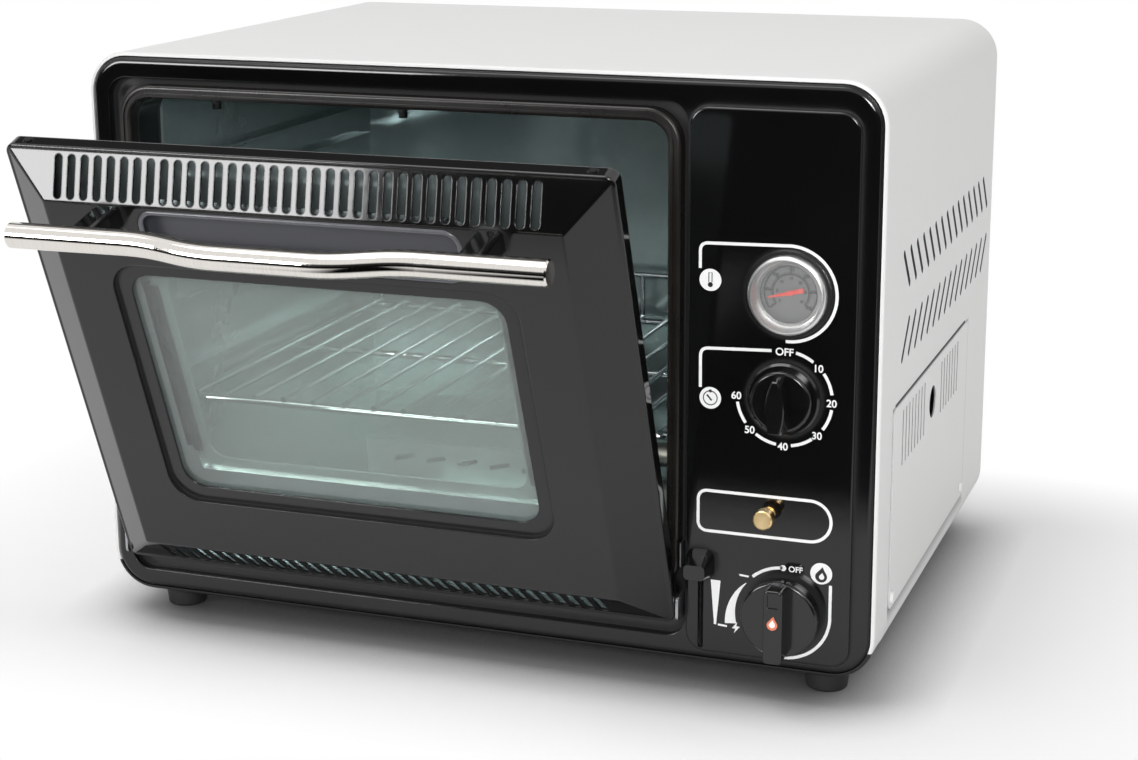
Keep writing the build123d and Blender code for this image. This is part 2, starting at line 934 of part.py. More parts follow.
def wire_rack():
    """Chromed grid: a bent frame wire, rods laid on it, and a guard raised along the back."""
    x0 = cavity_left + rack_side_gap + rack_wire_r
    x1 = cavity_right - rack_side_gap - rack_wire_r
    z = liner_low + rail_up + rack_wire_r
    frame = FilletPolyline((x0, rack_front, z), (x1, rack_front, z), (x1, rack_back, z),
                           (x0, rack_back, z), radius=rack_corner, close=True)
    start = Plane(origin=frame @ 0, z_dir=frame % 0)
    rack = sweep(start * Circle(rack_wire_r), path=frame)
    rod_up = z + rack_wire_r + rack_rod_r * 0.55
    first = x0 + rack_margin
    last = x1 - rack_margin
    pitch = (last - first) / (rack_rods - 1)
    for k in range(rack_rods):
        x = first + k * pitch
        rack += rod_y(rack_rod_r, rack_front - rack_rod_r, rack_back + rack_rod_r, x, rod_up)
        if k % rack_guard_every == 0:
            rack += rod_z(rack_rod_r, rod_up - rack_rod_r / 2, rod_up + rack_upstand, x, rack_back)
    rack += rod_x(rack_rod_r, first, last, rack_back, rod_up + rack_upstand)
    return rack + rod_x(rack_wire_r, x0, x1, (rack_front + rack_back) / 2, z)


# ---------------------------------------------------------------- burner
def burner_tube():
    """Steel burner tube with a row of ports, closed at its far end and open at its mouth."""
    tube = rod_x(burner_r, burner_left, burner_mouth_x, burner_y, burner_z)
    tube -= rod_x(burner_r - burner_wall, burner_left + burner_wall, burner_mouth_x + past,
                  burner_y, burner_z)
    ports = []
    top = burner_z + burner_r
    for k in range(port_count):
        x = burner_left + port_first + k * port_pitch
        ports.append(block(x - port_l / 2, x + port_l / 2, burner_y - port_w / 2,
                           burner_y + port_w / 2, top - 3 * burner_wall, top + past))
    return tube - ports


def burner_cover():
    """Folded steel cover over the burner, perforated in front and along its front edge."""
    t = cover_sheet
    y0 = burner_y - cover_half
    y1 = burner_y + cover_half
    top = liner_low + cover_h
    cover = block(cover_left, cover_right, y0, y1, liner_low, top)
    cover -= block(cover_left + t, cover_right - t, y0 + t, y1 + past, liner_low - past, top - t)
    reach = burner_r + cover_tunnel_gap
    cuts = [block(cover_right - 2 * t, cover_right + past, burner_y - reach, burner_y + reach,
                  liner_low - past, burner_z + reach)]
    count = int((cover_w - 2 * cover_slot_first) // cover_slot_pitch) + 1
    for k in range(count):
        x = cover_left + cover_slot_first + k * cover_slot_pitch
        cuts.append(block(x - cover_slot_w / 2, x + cover_slot_w / 2, y0 + cover_slot_in,
                          y0 + cover_slot_in + cover_slot_l, top - 2 * t, top + past))
    for k in range(cover_side_count):
        x = cover_left + cover_side_first + k * cover_side_pitch
        slot = Box(cover_side_w, 4 * t, cover_side_l)
        cuts.append(Pos(x, y0, liner_low + cover_side_up) * Rot(0, cover_side_lean, 0) * slot)
    return cover - cuts


def burner_bracket():
    """Strap that carries the burner tube, the electrode and the thermocouple."""
    x = cover_left + strap_in
    y0 = burner_y - strap_front
    y1 = burner_y + strap_back
    bracket = block(x, x + strap_t, y0, y1, liner_low, burner_z + strap_over)
    bracket += block(x, x + strap_foot, y0, y1, liner_low, liner_low + strap_t)
    return bracket - rod_x(burner_r + strap_gap, x - past, x + strap_foot + past, burner_y,
                           burner_z)


def spark_electrode():
    """Ceramic-insulated electrode on the bracket."""
    x = cover_left + strap_in + strap_t
    y = burner_y + electrode_back
    z = liner_low + electrode_up
    ceramic = rod_x(electrode_r, x, x + electrode_l, y, z)
    return ceramic + rod_x(electrode_tip_r, x + electrode_l, x + electrode_l + electrode_tip_l, y, z)


def thermocouple():
    """Flame sensor of the safety valve, on the bracket."""
    x = cover_left + strap_in + strap_t
    y = burner_y - sensor_front
    z = liner_low + sensor_up
    sheath = rod_x(sensor_r, x, x + sensor_l, y, z)
    return sheath + rod_x(sensor_tip_r, x + sensor_l, x + sensor_l + sensor_tip_l, y, z)


def injector():
    """Brass gas jet on a folded bracket, pointing into the burner's mouth."""
    floor = case_low + case_sheet
    t = jet_stand_t
    y0 = burner_y - jet_stand_half
    y1 = burner_y + jet_stand_half
    stand = block(stand_x, stand_x + t, y0, y1, floor, burner_z + jet_stand_over)
    stand += block(stand_x, stand_x + jet_stand_foot, y0, y1, floor, floor + t)
    jet = rod_x(jet_r, stand_x + t, stand_x + t + jet_l, burner_y, burner_z)
    return stand + jet + rod_x(jet_tip_r, stand_x - jet_tip_l, stand_x + t, burner_y, burner_z)


# ---------------------------------------------------------------- gas train behind the panel
def spindle_bore(r, reach, x, z):
    """Bore that a spindle `reach` long behind the panel turns in, a little longer than it."""
    return rod_y(r + spindle_clearance, panel_back - past, panel_back + reach + bore_more, x, z)


def gas_valve():
    """Cast body of the main gas tap, with its bore for the spindle."""
    y0 = panel_back + tap_front
    body = block(gas_x - tap_half, gas_x + tap_half, y0, y0 + tap_l, gas_z - tap_low,
                 gas_z + tap_high)
    body += rod_y(tap_neck_r, panel_back, y0 + past, gas_x, gas_z)
    return body - spindle_bore(spindle_r, tap_spindle_in, gas_x, gas_z)


def timer_valve():
    """Clockwork timer that shuts the gas off when it runs out."""
    y0 = panel_back + clock_front
    body = block(timer_x - clock_half, timer_x + clock_half, y0, y0 + clock_l,
                 timer_z - clock_high, timer_z + clock_high)
    body = fillet(body.edges().filter_by(Axis.Y), clock_corner)
    body += rod_y(clock_neck_r, panel_back, y0 + past, timer_x, timer_z)
    return body - spindle_bore(spindle_r, spindle_in, timer_x, timer_z)


def safety_valve():
    """Flame-failure valve, held open by the thermocouple once its button is pressed."""
    y0 = panel_back + safety_front
    body = rod_y(safety_r, y0, y0 + safety_l, button_x, button_z)
    body += rod_y(safety_neck_r, panel_back, y0 + past, button_x, button_z)
    body += rod_z(safety_out_r, button_z, button_z + safety_out_up, button_x,
                  panel_back + safety_out_back)
    return body - spindle_bore(button_stem_r, stem_in, button_x, button_z)


def igniter():
    """Piezo igniter clipped on the back of the gas tap."""
    z = gas_z + piezo_up
    y0 = panel_back + tap_front + tap_l
    y1 = y0 + piezo_l
    return rod_y(piezo_r, y0, y1, gas_x, z) + rod_y(piezo_tip_r, y1, y1 + piezo_tip_l, gas_x, z)


def inlet_spigot():
    """Brass inlet with a smooth tail for the gas hose, screwed to the heat shield."""
    x0 = shield_x + shield_sheet
    tip = case_half - case_sheet - inlet_tip_gap
    flange = rod_x(inlet_flange_r, x0, x0 + inlet_flange_t, hose_y, hose_z)
    stem = rod_x(inlet_stem_r, x0, tip - hose_tail_l, hose_y, hose_z)
    tail = rod_x(hose_tail_r, tip - hose_tail_l - past, tip, hose_y, hose_z)
    union = rod_y(union_r, hose_y - union_l, hose_y, x0 + union_in, hose_z)
    return flange + stem + tail + union


def inlet_pipe():
    """Copper pipe from the inlet to the back of the flame-failure valve."""
    x = shield_x + shield_sheet + union_in
    back = panel_back + safety_front + safety_l
    return tube_path([(x, hose_y - union_l, hose_z), (x, back + inlet_run, hose_z),
                      (button_x, back + inlet_turn, button_z), (button_x, back, button_z)],
                     pipe_r, pipe_bend)


def timer_pipe():
    """Copper pipe from the flame-failure valve up to the timer."""
    return rod_z(pipe_r, button_z + safety_out_up, timer_z - clock_high, button_x,
                 panel_back + safety_out_back)


def valve_pipe():
    """Copper pipe from the timer down to the top of the gas tap."""
    x = timer_x + valve_side
    y = panel_back + clock_front + clock_l
    back = y + valve_run
    front = back - valve_turn
    low = gas_z + tap_high + valve_over
    return tube_path([(x, y, timer_z), (x, back, timer_z), (x, back, low), (x, front, low),
                      (x, front, gas_z + tap_high)], pipe_r, pipe_small_bend)


def burner_pipe():
    """Copper pipe from the gas tap back to the jet."""
    x = gas_x + jet_side
    z = gas_z - jet_drop
    jet_x = stand_x + jet_stand_t + jet_l
    return tube_path([(x, panel_back + tap_front + tap_l, z), (x, burner_y - jet_turn, z),
                      (x, burner_y, burner_z), (jet_x, burner_y, burner_z)], pipe_r,
                     pipe_jet_bend)


# ---------------------------------------------------------------- controls
def timer_front():
    """The y of the timer knob's outermost face."""
    return -panel_raise - timer_standoff - timer_skirt_t - timer_body_t - timer_grip_out


def gas_front():
    """The y of the gas knob's outermost face."""
    return -panel_raise - gas_standoff - gas_disc_t - gas_grip_out


def timer_spindle():
    """Round spindle of the timer, from inside its body out into the knob."""
    return rod_y(spindle_r, timer_front() + grip_solid, panel_back + spindle_in, timer_x, timer_z)


def timer_knob():
    """Stepped knob with a leaf-shaped grip, narrow where it points at the scale."""
    y0 = -panel_raise - timer_standoff
    skirt = rod_y(timer_skirt_r, y0 - timer_skirt_t, y0, timer_x, timer_z)
    skirt = chamfer(front_edges(skirt), timer_skirt_edge)
    y1 = y0 - timer_skirt_t
    body = rod_y(timer_body_r, y1 - timer_body_t, y1, timer_x, timer_z)
    body = fillet(front_edges(body), timer_body_edge)
    reach = timer_body_r - timer_body_edge / 2
    tip = timer_grip_end
    heel = timer_grip_heel
    mid = timer_grip_mid
    leaf = make_face([Line((-tip, reach), (tip, reach)),
                      ThreePointArc((tip, reach), (mid, 0), (heel, -reach)),
                      Line((heel, -reach), (-heel, -reach)),
                      ThreePointArc((-heel, -reach), (-mid, 0), (-tip, reach))])
    face = facing_front(timer_x, y1 - timer_body_t + past, timer_z)
    grip = extrude(face * leaf, amount=timer_grip_out + past, taper=timer_grip_taper)
    grip = chamfer(front_edges(grip), timer_grip_edge)
    bore = rod_y(spindle_r + spindle_clearance, timer_front() + grip_solid - spindle_clearance,
                 y0 + past, timer_x, timer_z)
    return skirt + body + grip - bore


def gas_spindle():
    """Round spindle of the gas tap, which is pushed in before it is turned."""
    return rod_y(spindle_r, gas_front() + grip_solid, panel_back + tap_spindle_in, gas_x, gas_z)


def gas_knob():
    """Disc knob with a bar grip across it and a sunk pointer at its upper end."""
    y0 = -panel_raise - gas_standoff
    disc = rod_y(gas_disc_r, y0 - gas_disc_t, y0, gas_x, gas_z)
    disc = fillet(front_edges(disc), gas_disc_edge)
    face = facing_front(gas_x, y0 - gas_disc_t + past, gas_z)
    grip = extrude(face * RectangleRounded(gas_grip_w, gas_grip_l, gas_grip_corner),
                   amount=gas_grip_out + past)
    grip = fillet(front_edges(grip), gas_grip_edge)
    tip = gas_front()
    top = gas_z + gas_grip_l / 2 - gas_pointer_in
    pointer = block(gas_x - gas_pointer_w / 2, gas_x + gas_pointer_w / 2, tip - past,
                    tip + gas_pointer_deep, top - gas_pointer_l, top)
    bore = rod_y(spindle_r + spindle_clearance, tip + grip_solid - spindle_clearance, y0 + past,
                 gas_x, gas_z)
    return disc + grip - pointer - bore


def flame_button():
    """Brass button on a thin stem, pressed to start the flame."""
    tip = -panel_raise - button_out
    head = rod_y(button_head_r, tip, tip + button_head_t, button_x, button_z)
    head = chamfer(front_edges(head), button_edge)
    return head + rod_y(button_stem_r, tip + button_head_t, panel_back + stem_in, button_x,
                        button_z)


def vent_slider():
    """Thumb knob on a flat stem that runs in the upright slot."""
    y0 = -panel_raise - slider_gap
    base = facing_front(slot_x, y0, slider_z)
    tip = facing_front(slot_x, y0 - slider_out, slider_z - slider_droop)
    thumb = loft([base * RectangleRounded(slider_top_w, slider_top_h, slider_top_w * 0.31),
                  tip * RectangleRounded(slider_tip_w, slider_tip_h, slider_tip_w * 0.21)])
    half = slot_w / 2 - slider_stem_gap
    stem = block(slot_x - half, slot_x + half, y0 - past, damper_y, slider_z - slider_stem_h / 2,
                 slider_z + slider_stem_h / 2)
    return thumb + stem


def damper_plate():
    """Shutter behind the panel that the slider carries over its air slots."""
    return block(slot_x - damper_left, slot_x + damper_right, damper_y, damper_y + damper_t,
                 slider_z - damper_low, slider_z + damper_high)


# ---------------------------------------------------------------- thermometer
def thermometer_case():
    """Drawn can behind the panel, with its capillary led back to the heat shield."""
    y0 = -panel_raise - bezel_seat
    back = y0 + dial_case_l
    can = rod_y(dial_case_r, y0, back, dial_x, dial_z)
    can -= rod_y(dial_case_r - dial_case_sheet, y0 - past, back - dial_case_sheet, dial_x, dial_z)
    deep = back + capillary_out
    return can + tube_path([(dial_x, back - dial_case_sheet / 2, dial_z), (dial_x, deep, dial_z),
                            (shield_x + shield_sheet, deep, dial_z)], capillary_r, capillary_bend)


def thermometer_bezel():
    """Polished ring, sloping in toward the lens."""
    y0 = -panel_raise
    bezel = rod_y(bezel_r, y0 - bezel_out, y0, dial_x, dial_z)
    bezel = fillet(front_edges(bezel), bezel_round)
    bowl = Plane(origin=(dial_x, y0 - bezel_out, dial_z), x_dir=(1, 0, 0), z_dir=(0, 1, 0))
    bezel -= extrude(bowl * Circle(bezel_r - bezel_wall), amount=bezel_out - bezel_foot,
                     taper=bezel_slope)
    bezel -= rod_y(dial_case_r + rebate_gap, y0 - bezel_seat, y0 + past, dial_x, dial_z)
    return bezel - rod_y(dial_case_r - dial_rim, y0 - bezel_foot - past, y0 + past, dial_x, dial_z)


def thermometer_lens():
    """Flat glass over the dial."""
    y0 = -panel_raise - bezel_seat
    return rod_y(dial_case_r - dial_case_sheet - lens_gap, y0, y0 + lens_t, dial_x, dial_z)


def thermometer_dial():
    """Printed metal dial with a hole for the needle's arbor."""
    y0 = -panel_raise - bezel_seat + lens_t + dial_sunk
    disc = rod_y(dial_case_r - dial_case_sheet - lens_gap, y0, y0 + dial_t, dial_x, dial_z)
    return disc - rod_y(arbor_r + arbor_gap, y0 - past, y0 + dial_t + past, dial_x, dial_z)


def thermometer_needle():
    """Tapered pointer on a fine arbor."""
    y0 = -panel_raise - bezel_seat + lens_t + needle_sunk
    hub = y0 + needle_t + needle_hub_step
    outline = Polygon((-needle_tip, needle_tip_half), (-needle_tip, -needle_tip_half),
                      (0, -needle_mid_half), (needle_tail, -needle_tail_half),
                      (needle_tail, needle_tail_half), (0, needle_mid_half), align=None)
    face = facing_front(dial_x, y0 + needle_t, dial_z)
    blade = extrude(face * Rot(0, 0, needle_lean) * outline, amount=needle_t)
    boss = rod_y(needle_hub_r, y0 - needle_hub_step, hub, dial_x, dial_z)
    dial_back = -panel_raise - bezel_seat + lens_t + dial_sunk + dial_t
    return blade + boss + rod_y(arbor_r, hub, dial_back + arbor_behind, dial_x, dial_z)


# ---------------------------------------------------------------- door, as it stands when shut
def out(n):
    """The y of a plane n in front of the door's rim."""
    return -door_front_out - n


def frustum(x0, x1, z0, z1, n0, n1, inset):
    """A block whose four sides slope in evenly from plane n0 to plane n1."""
    base = facing_front((x0 + x1) / 2, out(n0), (z0 + z1) / 2)
    lean = math.degrees(math.atan2(inset, n1 - n0))
    return extrude(base * Rectangle(x1 - x0, z1 - z0), amount=n1 - n0, taper=lean)


def bevel_slot(x, way):
    """One round-ended slot square through the upper (way 1) or lower (way -1) bevel."""
    z = (door_low + door_high) / 2 + way * (door_h - door_bevel) / 2
    slope = Plane(origin=(x, out(door_bulge / 2), z), x_dir=(1, 0, 0),
                  z_dir=(0, -door_bevel, way * door_bulge))
    return extrude(slope * SlotOverall(vent_l, vent_w, rotation=90), amount=3 * door_sheet,
                   both=True)


def is_mitre(edge):
    """True for the four slanting edges between the bevels."""
    run = edge % 0
    return abs(run.X) > 0.1 and abs(run.Y) > 0.1


def door_outside():
    """Outer skin of the door as a full block: rim, four bevels and flat face."""
    rim = slab(door_left - rim_lip, door_right + rim_lip, door_low - rim_lip, door_high + rim_lip,
               out(0), out(-rim_depth), rim_corner)
    rim = fillet(front_edges(rim), rim_lip * 0.6)
    front = frustum(door_left, door_right, door_low, door_high, 0, door_bulge, door_bevel)
    creases = front_edges(front) + front.edges().filter_by(is_mitre)
    return rim + fillet(creases, face_corner)


def door_hollow():
    """Room inside the door's skin, one sheet thickness in from its outside."""
    t = door_sheet
    step = t * math.hypot(door_bevel, door_bulge) / door_bevel
    lip = rim_lip - t
    room = slab(door_left - lip, door_right + lip, door_low - lip, door_high + lip, out(-step),
                out(-rim_depth - past), rim_corner - t)
    return room + frustum(door_left, door_right, door_low, door_high, -step, door_bulge - t,
                          door_bevel * (door_bulge - t + step) / door_bulge)


def pressing(x0, x1, z0, z1, depth, r):
    """A flat-bottomed dent in the door face, and the metal that its back takes up."""
    t = door_sheet
    dent = slab(x0, x1, z0, z1, out(door_bulge + past), out(door_bulge - depth), r)
    bulge = slab(x0 - t, x1 + t, z0 - t, z1 + t, out(door_bulge - t), out(door_bulge - depth - t),
                 r + t)
    return dent, bulge


def door_outer():
    """Pressed and bevelled door front: rim, vents, sunk window border and finger pocket."""
    sink, sink_back = pressing(window_x0 - window_border, window_x1 + window_border,
                               window_z0 - window_border, window_z1 + border_over,
                               window_sink, border_corner)
    pocket_top = door_high - pocket_down
    pocket, pocket_back = pressing(door_mid - pocket_half, door_mid + pocket_half,
                                   pocket_top - pocket_h, pocket_top, pocket_depth,
                                   pocket_corner)
    shell = door_outside() - (door_hollow() - sink_back - pocket_back) - sink - pocket
    glass_hole = slab(window_x0, window_x1, window_z0, window_z1, out(door_bulge + past), out(0),
                      window_corner)
    first = door_mid + vent_shift - vent_pitch * (vent_count - 1) / 2
    slots = []
    for k in range(vent_count):
        slots.append(bevel_slot(first + k * vent_pitch, 1))
        slots.append(bevel_slot(first + k * vent_pitch, -1))
    pins = rod_x(hinge_pin_r + pin_clearance, door_left - rim_lip - past,
                 door_right + rim_lip + past, hinge_y, axis_z)
    return shell - glass_hole - slots - pins


def door_inner():
    """Bright inner panel that closes the door behind, turned forward round its edge."""
    g = rim_lip - door_sheet - door_gap
    t = inner_sheet
    x0 = door_left - g
    x1 = door_right + g
    z0 = door_low - g
    z1 = door_high + g
    r = rim_corner - door_sheet - door_gap
    y1 = out(-rim_depth)
    tray = slab(x0, x1, z0, z1, y1 - inner_flange, y1, r)
    tray -= slab(x0 + t, x1 - t, z0 + t, z1 - t, y1 - inner_flange - past, y1 - t, r - t)
    tray -= slab(inner_x0, inner_x1, inner_z0, inner_z1, y1 - t - past, y1 + past,
                 inner_window_corner)
    return tray - rod_x(hinge_pin_r + inner_clearance, x0 - past, x1 + past, hinge_y, axis_z)


def inner_glass():
    """Inner pane, laid against the inner panel."""
    y1 = out(-rim_depth) - inner_sheet
    return slab(inner_x0 - glass_lap, inner_x1 + glass_lap, inner_z0 - glass_lap,
                inner_z1 + glass_lap, y1 - glass_t, y1, inner_glass_corner)


def glass_clip(edge, side):
    """A folded strip along one upright edge of the inner pane: foot, stand and cap."""
    y1 = out(-rim_depth) - inner_sheet
    z0 = inner_z0 + clip_inset
    z1 = inner_z1 - clip_inset
    near = edge + side * clip_gap
    stand = sorted((near, near + side * clip_t))
    foot_span = sorted((near, near + side * clip_foot))
    cap = sorted((edge - side * clip_cap, near + side * clip_t))
    strip = block(cap[0], cap[1], y1 - glass_t - clip_t, y1 - glass_t, z0, z1)
    strip += block(stand[0], stand[1], y1 - glass_t - clip_t, y1, z0, z1)
    return strip + block(foot_span[0], foot_span[1], y1 - clip_t, y1, z0, z1)


def window_pane(y0, thick, r):
    """A pane behind the window hole, lapped all round."""
    return slab(window_x0 - glass_lap, window_x1 + glass_lap, window_z0 - glass_lap,
                window_z1 + glass_lap, y0, y0 + thick, r)


def window_gasket():
    """Flat silicone frame between the outer pane and the door front."""
    y0 = out(door_bulge - window_sink - door_sheet)
    return ring(window_x0 - glass_lap, window_x1 + glass_lap, window_z0 - glass_lap,
                window_z1 + glass_lap, y0, y0 + gasket_t, gasket_corner, gasket_w)


def outer_glass():
    """Outer pane behind the window border."""
    return window_pane(out(door_bulge - window_sink - door_sheet) + gasket_t, glass_t,
                       glass_corner)


def handle_bar():
    """Chromed bar, straight over its posts and bowed outward between them."""
    near = out(handle_out)
    far = out(handle_out + handle_bow)
    turn_in = post_spread - bow_start
    turn_out = post_spread - bow_end
    points = [(door_mid - handle_half, near, handle_z), (door_mid - turn_in, near, handle_z),
              (door_mid - turn_out, far, handle_z), (door_mid + turn_out, far, handle_z),
              (door_mid + turn_in, near, handle_z), (door_mid + handle_half, near, handle_z)]
    bar = tube_path(points, handle_r, handle_bend_r)
    ends = bar.faces().filter_by(GeomType.PLANE)
    return chamfer(ends.edges(), handle_chamfer)


def handle_post(side):
    """Moulded post from the door face to the handle, cradling the bar."""
    x = door_mid + side * post_spread
    base = facing_front(x, out(door_bulge), handle_z - post_drop)
    head = facing_front(x, out(handle_out), handle_z)
    post = loft([base * RectangleRounded(post_w, post_h, post_corner),
                 head * RectangleRounded(post_w - post_taper, post_h - post_taper, post_corner)])
    return post - rod_x(handle_r + post_gap, x - post_w, x + post_w, out(handle_out), handle_z)


def handle_screws():
    """Two screws from inside the door into the handle posts."""
    heads = []
    for side in (-1, 1):
        heads.append(pan_head(door_mid + side * post_spread, out(door_bulge - door_sheet),
                              handle_z - post_drop, (0, 1, 0)))
    return heads


def rim_screws():
    """Four small screws through the rim, two above and two below, into the inner panel."""
    heads = []
    for x in (door_left + rim_screw_inset, door_right - rim_screw_inset):
        for z, way in ((door_high + rim_lip, 1), (door_low - rim_lip, -1)):
            seat = Plane(origin=(x, out(-rim_screw_back), z), z_dir=(0, 0, way))
            heads.append(extrude(seat * Circle(rim_screw_r), amount=rim_screw_t))
    return heads


def rim_side(side):
    """The x of the rim's outside on one side of the door."""
    if side < 0:
        return door_left - rim_lip
    return door_right + rim_lip


def hinge_pin(side):
    """Pivot pin pressed into the rim's side."""
    edge = rim_side(side)
    lo, hi = sorted((edge - side * hinge_pin_l, edge + side * (bracket_gap + bracket_sheet)))
    return rod_x(hinge_pin_r, lo, hi, hinge_y, axis_z)


def hinge_bracket(side):
    """Folded ear on the recess floor, with the hole in which the door's pin turns."""
    edge = rim_side(side)
    lo, hi = sorted((edge + side * bracket_gap, edge + side * (bracket_gap + bracket_sheet)))
    ear = block(lo, hi, hinge_y - bracket_front, recess_depth, axis_z - bracket_low,
                axis_z + bracket_high)
    ear = fillet(ear.edges().filter_by(Axis.X).sort_by(Axis.Y)[:2], bracket_corner)
    return ear - rod_x(hinge_pin_r + pin_clearance, lo - past, hi + past, hinge_y, axis_z)


def door_catches():
    """Two spring strips on the recess floor that grip the rim of the shut door."""
    strips = []
    for side in (-1, 1):
        edge = rim_side(side)
        lo, hi = sorted((edge + side * catch_gap, edge + side * (catch_gap + catch_sheet)))
        strips.append(block(lo, hi, -catch_front, recess_depth, door_low + catch_up,
                            door_low + catch_up + catch_h))
    return Compound(strips)


# ---------------------------------------------------------------- assembly
def build():
    """Make every piece and keep it under its name."""
    keep("casing_wrap", casing_wrap())
    keep("rear_panel", rear_panel())
    keep("access_panel", access_panel())
    keep("case_screws", Compound(rear_screws() + access_screws()))
    foot_x = front_w / 2 - foot_inset
    foot_y = case_depth - foot_rear_inset
    corners = {"front_left": (-foot_x, foot_front), "front_right": (foot_x, foot_front),
               "rear_left": (-foot_x, foot_y), "rear_right": (foot_x, foot_y)}
    screws = []
    for name, (x, y) in corners.items():
        keep("foot_" + name, foot(x, y))
        screws.append(foot_screw(x, y))
    keep("foot_screws", Compound(screws))
    keep("front_fascia", front_fascia())
    keep("cavity_throat", cavity_throat())
    keep("cavity_liner", cavity_liner())
    keep("insulation_blanket", insulation_blanket())
    keep("door_seal", door_seal())
    keep("liner_supports", liner_supports())
    keep("control_shield", control_shield())
    keep("rack_rail_left", rack_rail(-1))
    keep("rack_rail_right", rack_rail(1))
    keep("wire_rack", wire_rack())
    keep("burner_tube", burner_tube())
    keep("burner_cover", burner_cover())
    keep("burner_bracket", burner_bracket())
    keep("spark_electrode", spark_electrode())
    keep("thermocouple", thermocouple())
    keep("gas_injector", injector())
    keep("gas_valve", gas_valve())
    keep("timer_valve", timer_valve())
    keep("safety_valve", safety_valve())
    keep("piezo_igniter", igniter())
    keep("gas_inlet", inlet_spigot())
    keep("gas_pipe_inlet", inlet_pipe())
    keep("gas_pipe_valves", Compound([timer_pipe(), valve_pipe()]))
    keep("gas_pipe_burner", burner_pipe())
    keep("timer_spindle", timer_spindle())
    keep("timer_knob", timer_knob())
    keep("gas_spindle", gas_spindle())
    keep("gas_knob", gas_knob())
    keep("flame_button", flame_button())
    keep("vent_slider", vent_slider())
    keep("damper_plate", damper_plate())
    keep("thermometer_case", thermometer_case())
    keep("thermometer_bezel", thermometer_bezel())
    keep("thermometer_lens", thermometer_lens())
    keep("thermometer_dial", thermometer_dial())
    keep("thermometer_needle", thermometer_needle())
    keep("hinge_bracket_left", hinge_bracket(-1))
    keep("hinge_bracket_right", hinge_bracket(1))
    keep("door_catches", door_catches())
    keep("door_outer", door_outer(), on_door=True)
    keep("door_inner", door_inner(), on_door=True)
    keep("inner_glass", inner_glass(), on_door=True)
    clips = [glass_clip(inner_x0 - glass_lap, -1), glass_clip(inner_x1 + glass_lap, 1)]
    keep("glass_clips", Compound(clips), on_door=True)
    keep("window_gasket", window_gasket(), on_door=True)
    keep("outer_glass", outer_glass(), on_door=True)
    keep("handle_bar", handle_bar(), on_door=True)
    keep("handle_post_left", handle_post(-1), on_door=True)
    keep("handle_post_right", handle_post(1), on_door=True)
    keep("door_screws", Compound(handle_screws() + rim_screws()), on_door=True)
    keep("hinge_pin_left", hinge_pin(-1), on_door=True)
    keep("hinge_pin_right", hinge_pin(1), on_door=True)


build()
os.makedirs("parts", exist_ok=True)
for name, piece in pieces.items():
    export_step(piece, f"parts/{name}.step")
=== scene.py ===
"""Looks of the portable gas camp oven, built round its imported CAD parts.

The frame is in metres: x to the right, y to the rear, z up from the table. The studio is set out
in metres too, and everything on the oven in millimetres, which MM turns into the frame's metres.
"""
import math

import bmesh
import bpy
import numpy as np
from mathutils import Matrix, Vector


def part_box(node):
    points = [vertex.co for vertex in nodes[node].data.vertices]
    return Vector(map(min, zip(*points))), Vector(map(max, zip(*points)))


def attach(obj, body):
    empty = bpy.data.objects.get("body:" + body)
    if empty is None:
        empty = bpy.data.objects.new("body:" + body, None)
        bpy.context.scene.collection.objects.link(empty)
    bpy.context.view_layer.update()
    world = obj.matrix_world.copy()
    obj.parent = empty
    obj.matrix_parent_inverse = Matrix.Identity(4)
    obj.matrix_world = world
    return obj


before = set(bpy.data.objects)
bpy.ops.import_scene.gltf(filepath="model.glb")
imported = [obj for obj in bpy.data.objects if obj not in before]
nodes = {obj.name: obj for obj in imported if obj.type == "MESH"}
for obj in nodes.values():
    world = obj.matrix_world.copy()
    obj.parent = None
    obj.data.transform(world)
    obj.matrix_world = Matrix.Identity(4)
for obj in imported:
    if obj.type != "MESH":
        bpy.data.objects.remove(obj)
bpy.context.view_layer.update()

# ---------------------------------------------------------------- camera
# A 69 mm lens on a 36 mm frame, 1.3 m away, to the right of the front and a little above it, with
# the picture slid down by 50 of the 1138 pixels of its width.
PICTURE_WIDTH, PICTURE_SLIDE = 1138, 50
camera_data = bpy.data.cameras.new("camera")
camera_data.sensor_width = 36
camera_data.lens = 69.25
camera_data.shift_y = -PICTURE_SLIDE / PICTURE_WIDTH
camera = bpy.data.objects.new("camera", camera_data)
bpy.context.scene.collection.objects.link(camera)
camera_right = (0.93939116, 0.34280908, -0.00511777)
camera_up = (-0.07597549, 0.22270347, 0.97192124)
camera_back = (0.33432317, -0.91262539, 0.23525075)
camera_eye = (0.46674, -1.19745, 0.48702)
camera.matrix_world = Matrix([*zip(camera_right, camera_up, camera_back, camera_eye),
                              (0, 0, 0, 1)])
bpy.context.scene.camera = camera
bpy.context.scene.view_settings.view_transform = "Standard"


# ---------------------------------------------------------------- studio
# A white table in a room that is dark in front and light above and behind, as black enamel and
# bright metal show it. The eye and the glass see white all round, and soft lamps stand about.
def linear(hex_colour):
    """An sRGB hex colour as the linear colour that shaders take."""
    values = [int(hex_colour[i:i + 2], 16) / 255 for i in (1, 3, 5)]
    return [v / 12.92 if v <= 0.04045 else ((v + 0.055) / 1.055) ** 2.4 for v in values]


